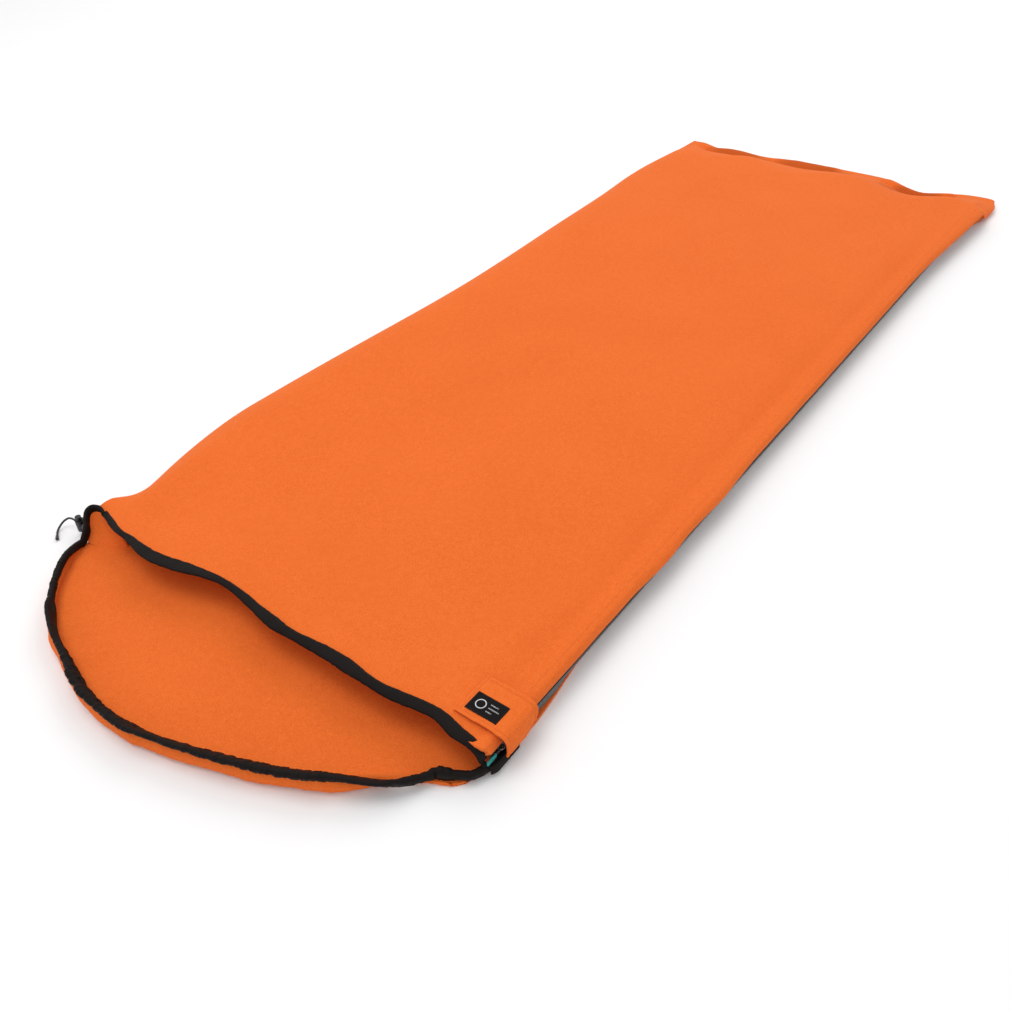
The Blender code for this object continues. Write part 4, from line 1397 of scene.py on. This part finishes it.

# %% [markdown]
# ### Fleece pile
# Fleece is a knit whose loops are brushed into a short matted pile. Near by it is a field of small tufts
# with tiny shadows between them; further off it is a slight mottle. Three sizes of noise make it. The tucks
# at the foot shade themselves only a little under these lights, so three soft lens shapes of painted shade
# darken the pile there. They are a colour, not a shape.

# %% Fleece group
fleece_group, entry, leave = group(
    "fleece_pile",
    [("Place", "NodeSocketVector", None), ("Tuft Colour", "NodeSocketColor", (1, 1, 1, 1)),
     ("Gap Colour", "NodeSocketColor", (0, 0, 0, 1)), ("Tufts", "NodeSocketFloat", 620.0),
     ("Depth", "NodeSocketFloat", 0.0009)],
    [("Colour", "NodeSocketColor"), ("Roughness", "NodeSocketFloat"), ("Normal", "NodeSocketVector")])
tuft = noise_node(fleece_group, entry.outputs["Place"], entry.outputs["Tufts"], 3.0, 0.62)
matted = noise_node(fleece_group, entry.outputs["Place"], 150.0, 3.0, 0.6)
broad = noise_node(fleece_group, entry.outputs["Place"], 7.0, 2.0, 0.5)
height = math_node(fleece_group, "ADD", math_node(fleece_group, "MULTIPLY", tuft, 0.80),
                   math_node(fleece_group, "MULTIPLY", matted, 0.20))
shown = math_node(fleece_group, "ADD", math_node(fleece_group, "MULTIPLY", height, 0.90),
                  math_node(fleece_group, "MULTIPLY", broad, 0.10))
lit = ramp(fleece_group, shown, 0.34, 0.60)
bump = node(fleece_group, "ShaderNodeBump", {"Strength": 0.55, "Distance": entry.outputs["Depth"],
                                             "Height": height})
split = node(fleece_group, "ShaderNodeSeparateXYZ", {"Vector": entry.outputs["Place"]})
# Painted shade: three soft lens masks darken the pile in the tucks at the foot.
painted_tuck_shade = None
# x and y of each shade, then its half width and its reach along the bag
FOOT_SHADES = ((-0.235, 0.998, 0.095, 0.034), (-0.040, 1.000, 0.110, 0.040), (0.215, 0.958, 0.095, 0.048))
for middle, line, half, reach in FOOT_SHADES:
    along = math_node(fleece_group, "DIVIDE", math_node(fleece_group, "SUBTRACT", split.outputs["X"],
                                                        middle), half)
    aside = math_node(fleece_group, "DIVIDE", math_node(fleece_group, "SUBTRACT", split.outputs["Y"], line),
                      reach)
    far = math_node(fleece_group, "ADD", math_node(fleece_group, "MULTIPLY", along, along),
                    math_node(fleece_group, "MULTIPLY", aside, aside))
    lens = ramp(fleece_group, far, 1.0, 0.35)
    painted_tuck_shade = lens if painted_tuck_shade is None else math_node(fleece_group, "MAXIMUM", painted_tuck_shade, lens)
pile = mix_colours(fleece_group, lit, entry.outputs["Gap Colour"], entry.outputs["Tuft Colour"])
# The painted shade's colour: the pile taken part way towards a dark brown.
painted_shade_colour = mix_colours(fleece_group, 0.42, pile, (0.26, 0.036, 0.004, 1.0))
fleece_group.links.new(mix_colours(fleece_group, painted_tuck_shade, pile, painted_shade_colour), leave.inputs["Colour"])
fleece_group.links.new(math_node(fleece_group, "SUBTRACT", 1.0,
                                 math_node(fleece_group, "MULTIPLY", lit, 0.12)),
                       leave.inputs["Roughness"])
fleece_group.links.new(bump.outputs[0], leave.inputs["Normal"])

# %% [markdown]
# ### Woven threads
# Tape, binding and label are woven. Two sets of ridges at right angles, each seen where it passes over the
# other, make the weave. It follows the UV map, which is in metres, so the threads have their real size.

# %% Weave group
weave_group, entry, leave = group(
    "woven_threads",
    [("Place", "NodeSocketVector", None), ("Warp Colour", "NodeSocketColor", (1, 1, 1, 1)),
     ("Weft Colour", "NodeSocketColor", (0, 0, 0, 1)), ("Threads", "NodeSocketFloat", 1800.0),
     ("Depth", "NodeSocketFloat", 0.0002)],
    [("Colour", "NodeSocketColor"), ("Roughness", "NodeSocketFloat"), ("Normal", "NodeSocketVector")])
split = node(weave_group, "ShaderNodeSeparateXYZ", {0: entry.outputs["Place"]})
turns = math_node(weave_group, "MULTIPLY", entry.outputs["Threads"], math.pi)
warp = math_node(weave_group, "SINE", math_node(weave_group, "MULTIPLY", split.outputs[0], turns))
weft = math_node(weave_group, "SINE", math_node(weave_group, "MULTIPLY", split.outputs[1], turns))
over = math_node(weave_group, "MULTIPLY", warp, weft)
thread_height = math_node(weave_group, "ABSOLUTE", over)
lint = noise_node(weave_group, entry.outputs["Place"], 900.0, 3.0, 0.6)
height = math_node(weave_group, "ADD", thread_height, math_node(weave_group, "MULTIPLY", lint, 0.5))
which = ramp(weave_group, math_node(weave_group, "ADD", over, math_node(weave_group, "MULTIPLY", lint, 0.6)),
             -0.1, 0.7)
bump = node(weave_group, "ShaderNodeBump", {"Strength": 0.5, "Distance": entry.outputs["Depth"],
                                            "Height": height})
weave_group.links.new(mix_colours(weave_group, which, entry.outputs["Weft Colour"],
                                  entry.outputs["Warp Colour"]),
                      leave.inputs["Colour"])
weave_group.links.new(ramp(weave_group, lint, -0.9, 1.4), leave.inputs["Roughness"])
weave_group.links.new(bump.outputs[0], leave.inputs["Normal"])

# %% [markdown]
# ### Handling marks
# Metal and plastic pick up small scuffs: places a little lighter and rougher, and a faint unevenness.

# %% Scuff group
scuff_group, entry, leave = group(
    "scuffs",
    [("Place", "NodeSocketVector", None), ("Clean Colour", "NodeSocketColor", (1, 1, 1, 1)),
     ("Scuffed Colour", "NodeSocketColor", (0, 0, 0, 1)), ("Size", "NodeSocketFloat", 500.0),
     ("Least Roughness", "NodeSocketFloat", 0.3), ("Depth", "NodeSocketFloat", 0.00004)],
    [("Colour", "NodeSocketColor"), ("Roughness", "NodeSocketFloat"), ("Normal", "NodeSocketVector")])
marks = noise_node(scuff_group, entry.outputs["Place"], entry.outputs["Size"], 5.0, 0.65)
fine = noise_node(scuff_group, entry.outputs["Place"], 2600.0, 2.0, 0.5)
mask = ramp(scuff_group, marks, 0.50, 0.66)
bump = node(scuff_group, "ShaderNodeBump",
            {"Strength": 0.4, "Distance": entry.outputs["Depth"],
             "Height": math_node(scuff_group, "ADD", marks, math_node(scuff_group, "MULTIPLY", fine, 0.4))})
scuff_group.links.new(mix_colours(scuff_group, mask, entry.outputs["Clean Colour"],
                                  entry.outputs["Scuffed Colour"]),
                      leave.inputs["Colour"])
scuff_group.links.new(math_node(scuff_group, "ADD", entry.outputs["Least Roughness"],
                                math_node(scuff_group, "MULTIPLY", marks, 0.25)), leave.inputs["Roughness"])
scuff_group.links.new(bump.outputs[0], leave.inputs["Normal"])

# %% [markdown]
# ## The materials
# Each finish is its own material: the shared group for its surface, and the shader's own sockets for what
# is the same all over, such as sheen or metalness.


# %% Materials
def finish(name, effect, where, values, sheen=0.0, sheen_tint=(1, 1, 1, 1), metallic=0.0, specular=0.5):
    material = bpy.data.materials.new(name)
    material.use_nodes = True
    tree = material.node_tree
    shader = tree.nodes["Principled BSDF"]
    shader.inputs["Metallic"].default_value = metallic
    shader.inputs["Specular IOR Level"].default_value = specular
    shader.inputs["Sheen Weight"].default_value = sheen
    shader.inputs["Sheen Roughness"].default_value = 0.45
    shader.inputs["Sheen Tint"].default_value = sheen_tint
    where_from = node(tree, "ShaderNodeTexCoord")
    surface = node(tree, "ShaderNodeGroup", node_tree=effect)
    tree.links.new(where_from.outputs[where], surface.inputs["Place"])
    for key, value in values.items():
        surface.inputs[key].default_value = value
    tree.links.new(surface.outputs["Colour"], shader.inputs["Base Color"])
    tree.links.new(surface.outputs["Roughness"], shader.inputs["Roughness"])
    tree.links.new(surface.outputs["Normal"], shader.inputs["Normal"])
    return material


orange = finish("orange_fleece", fleece_group, "Object",
                {"Tuft Colour": (0.850, 0.172, 0.030, 1), "Gap Colour": (0.700, 0.118, 0.017, 1),
                 "Tufts": 760.0,
                 "Depth": 0.0008},
                0.10, (1.0, 0.55, 0.30, 1), 0.0, 0.08)
black_cloth = finish("black_binding", weave_group, "UV",
                     {"Warp Colour": (0.0110, 0.0076, 0.0062, 1), "Weft Colour": (0.0036, 0.0026, 0.0022, 1),
                      "Threads": 2200.0, "Depth": 0.00012}, 0.0, (0.9, 0.75, 0.65, 1), 0.0, 0.12)
grey_tape = finish("grey_tape", weave_group, "Object",
                   {"Warp Colour": (0.150, 0.150, 0.152, 1), "Weft Colour": (0.085, 0.085, 0.088, 1),
                    "Threads": 2000.0, "Depth": 0.00015}, 0.05, (1, 1, 1, 1), 0.0, 0.3)
grey_tape_cloth = finish("grey_tape_cloth", weave_group, "UV",
                         {"Warp Colour": (0.150, 0.150, 0.152, 1), "Weft Colour": (0.085, 0.085, 0.088, 1),
                          "Threads": 2000.0, "Depth": 0.00015}, 0.05, (1, 1, 1, 1), 0.0, 0.3)
nylon = finish("dark_nylon", scuff_group, "Object",
               {"Clean Colour": (0.030, 0.030, 0.032, 1), "Scuffed Colour": (0.060, 0.060, 0.062, 1),
                "Least Roughness": 0.28})
steel = finish("dark_steel", scuff_group, "Object",
               {"Clean Colour": (0.22, 0.22, 0.23, 1), "Scuffed Colour": (0.50, 0.50, 0.51, 1),
                "Least Roughness": 0.20}, metallic=1.0)
spring_steel = finish("spring_steel", scuff_group, "Object",
                      {"Clean Colour": (0.55, 0.55, 0.57, 1), "Scuffed Colour": (0.70, 0.70, 0.71, 1),
                       "Least Roughness": 0.18}, metallic=1.0)
plastic = finish("black_plastic", scuff_group, "Object",
                 {"Clean Colour": (0.012, 0.012, 0.013, 1), "Scuffed Colour": (0.030, 0.030, 0.031, 1),
                  "Least Roughness": 0.24})
teal = finish("teal_rubber", scuff_group, "Object",
              {"Clean Colour": (0.010, 0.260, 0.250, 1), "Scuffed Colour": (0.030, 0.340, 0.320, 1),
               "Least Roughness": 0.36})
cord_black = finish("black_braid", weave_group, "UV",
                    {"Warp Colour": (0.030, 0.028, 0.028, 1), "Weft Colour": (0.008, 0.008, 0.008, 1),
                     "Threads": 1400.0, "Depth": 0.00025}, 0.05)
label_satin = finish("label_satin", weave_group, "UV",
                     {"Warp Colour": (0.0075, 0.0052, 0.0048, 1), "Weft Colour": (0.003, 0.002, 0.002, 1),
                      "Threads": 3200.0, "Depth": 0.00008}, 0.0, (1, 1, 1, 1), 0.0, 0.1)
pale_thread = finish("pale_thread", fleece_group, "Object",
                     {"Tuft Colour": (0.70, 0.70, 0.70, 1), "Gap Colour": (0.45, 0.45, 0.46, 1),
                      "Tufts": 4000.0, "Depth": 0.0001})
orange_thread = finish("orange_thread", fleece_group, "Object",
                       {"Tuft Colour": (0.800, 0.190, 0.040, 1), "Gap Colour": (0.480, 0.080, 0.012, 1),
                        "Tufts": 5000.0, "Depth": 0.00006})
black_thread = finish("black_thread", fleece_group, "Object",
                      {"Tuft Colour": (0.035, 0.030, 0.028, 1), "Gap Colour": (0.010, 0.009, 0.009, 1),
                       "Tufts": 5000.0, "Depth": 0.00006})
print(len(bpy.data.materials), "materials")


# %% Dress every piece
def dress(item, material):
    item.data.materials.clear()
    item.data.materials.append(material)


for item in (bottom, cover, flap, foot_seam, loop_cloth):
    dress(item, orange)
for item in (edging, collar, patch):
    dress(item, black_cloth)
for item in (coil_low, coil_high):
    dress(item, nylon)
dress(tape, grey_tape_cloth)
for item in (tail, inner_cord):
    dress(item, cord_black)
dress(grip, teal)
dress(bell, plastic)
dress(label, label_satin)
dress(mark, pale_thread)
dress(flap_thread, orange_thread)
dress(zip_thread, orange_thread)
dress(label_thread, black_thread)
dress(collar_thread, black_thread)
CAD_FINISH = {
    "zip_tape_upper": grey_tape, "top_stop_lower": steel, "top_stop_upper": steel,
    "bottom_stop": steel, "cord_eyelet": steel, "slider_body": steel, "pull_tab": steel,
              "lock_barrel": plastic,
    "lock_plunger": plastic, "lock_spring": spring_steel,
}
for name, material in CAD_FINISH.items():
    dress(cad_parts[name], material)

# %% [markdown]
# ## What each piece rides on
# The cover opens along a slanting fold, and the bottom sheet and the edging fold at the hood. Here the cover,
# collar, bottom sheet, edging and loop cloth only have their places baked into their meshes, on no body.
# Hard parts ride on one body.

# %% Ride, bake and replace
for item in (cover, collar, collar_thread):
    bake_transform(item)
for item in (bottom, edging, loop_cloth):
    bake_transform(item)
for item, body in ((foot_seam, "bag"), (patch, "bag"), (coil_low, "bag"), (coil_high, "cover"),
                   (grip, "pull"),
                   (flap, "garage"), (label, "garage"), (mark, "garage"), (flap_thread, "garage"),
                   (label_thread, "garage"), (zip_thread, "cover"), (tail, "bag"), (bell, "bag"),
                   (inner_cord, "hood"), (tape, "bag")):
    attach(item, body)
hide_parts("base_sheet", "hood_sheet")
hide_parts("cover_flap", "cover_foot")
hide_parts("hood_channel", "corner_loop", "edging_end")
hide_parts("hood_drawcord")
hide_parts("collar_binding")
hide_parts("corner_patch")
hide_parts("foot_seam")
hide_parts("zip_tape_lower")
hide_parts("zip_coil_lower")
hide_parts("zip_coil_upper")
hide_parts("pull_grip")
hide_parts("garage_flap")
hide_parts("woven_label")
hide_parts("drawcord_tail")
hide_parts("cord_end")
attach(spring, "lock")
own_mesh(spring)
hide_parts("lock_spring")
for slot, items in {
    "fleece": (bottom, cover, flap, foot_seam, loop_cloth, flap_thread, zip_thread),
                    "coil": (coil_low, coil_high), "tape": (tape,),
    "binding": (edging, collar, patch, collar_thread), "cord": (tail, inner_cord), "plastic": (bell,),
    "grip": (grip,), "label": (label, mark, label_thread),
}.items():
    for item in items:
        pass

# %% [markdown]
# ## Floor and light
# A plain pale floor and large soft lights, as in a small studio. One broad light from above and behind the
# camera's left does most of the work, the surroundings fill the shadows, and the colours are left as they
# are.

# %% Floor
deselect()
bpy.ops.mesh.primitive_plane_add(size=14.0, location=(0.0, 1.0, -0.0005))
floor = bpy.context.object
floor.name = "floor"
floor_finish = bpy.data.materials.new("pale_floor")
floor_finish.use_nodes = True
floor_shader = floor_finish.node_tree.nodes["Principled BSDF"]
floor_shader.inputs["Base Color"].default_value = (0.94, 0.94, 0.94, 1.0)
floor_shader.inputs["Roughness"].default_value = 0.9
floor_shader.inputs["Specular IOR Level"].default_value = 0.1
floor.data.materials.append(floor_finish)

# %% Light
world = bpy.data.worlds.new("studio")
world.use_nodes = True
world.node_tree.nodes["Background"].inputs["Color"].default_value = (1.0, 1.0, 1.0, 1.0)
world.node_tree.nodes["Background"].inputs["Strength"].default_value = 0.80
bpy.context.scene.world = world
bpy.context.scene.view_settings.view_transform = "Standard"


def area_light(name, place, aim, size, power):
    lamp = bpy.data.lights.new(name, "AREA")
    lamp.shape = "RECTANGLE"
    lamp.size, lamp.size_y = size
    lamp.energy = power
    light = bpy.data.objects.new(name, lamp)
    light.location = place
    light.rotation_euler = (Vector(aim) - Vector(place)).to_track_quat("-Z", "Y").to_euler()
    bpy.context.scene.collection.objects.link(light)
    return light


area_light("broad", (-0.9, -0.9, 3.5), (0.0, 0.0, 0.0), (2.2, 2.2), 36.0)
area_light("far", (-1.6, 4.6, 4.2), (-1.2, 3.6, 0.0), (4.0, 4.0), 90.0)
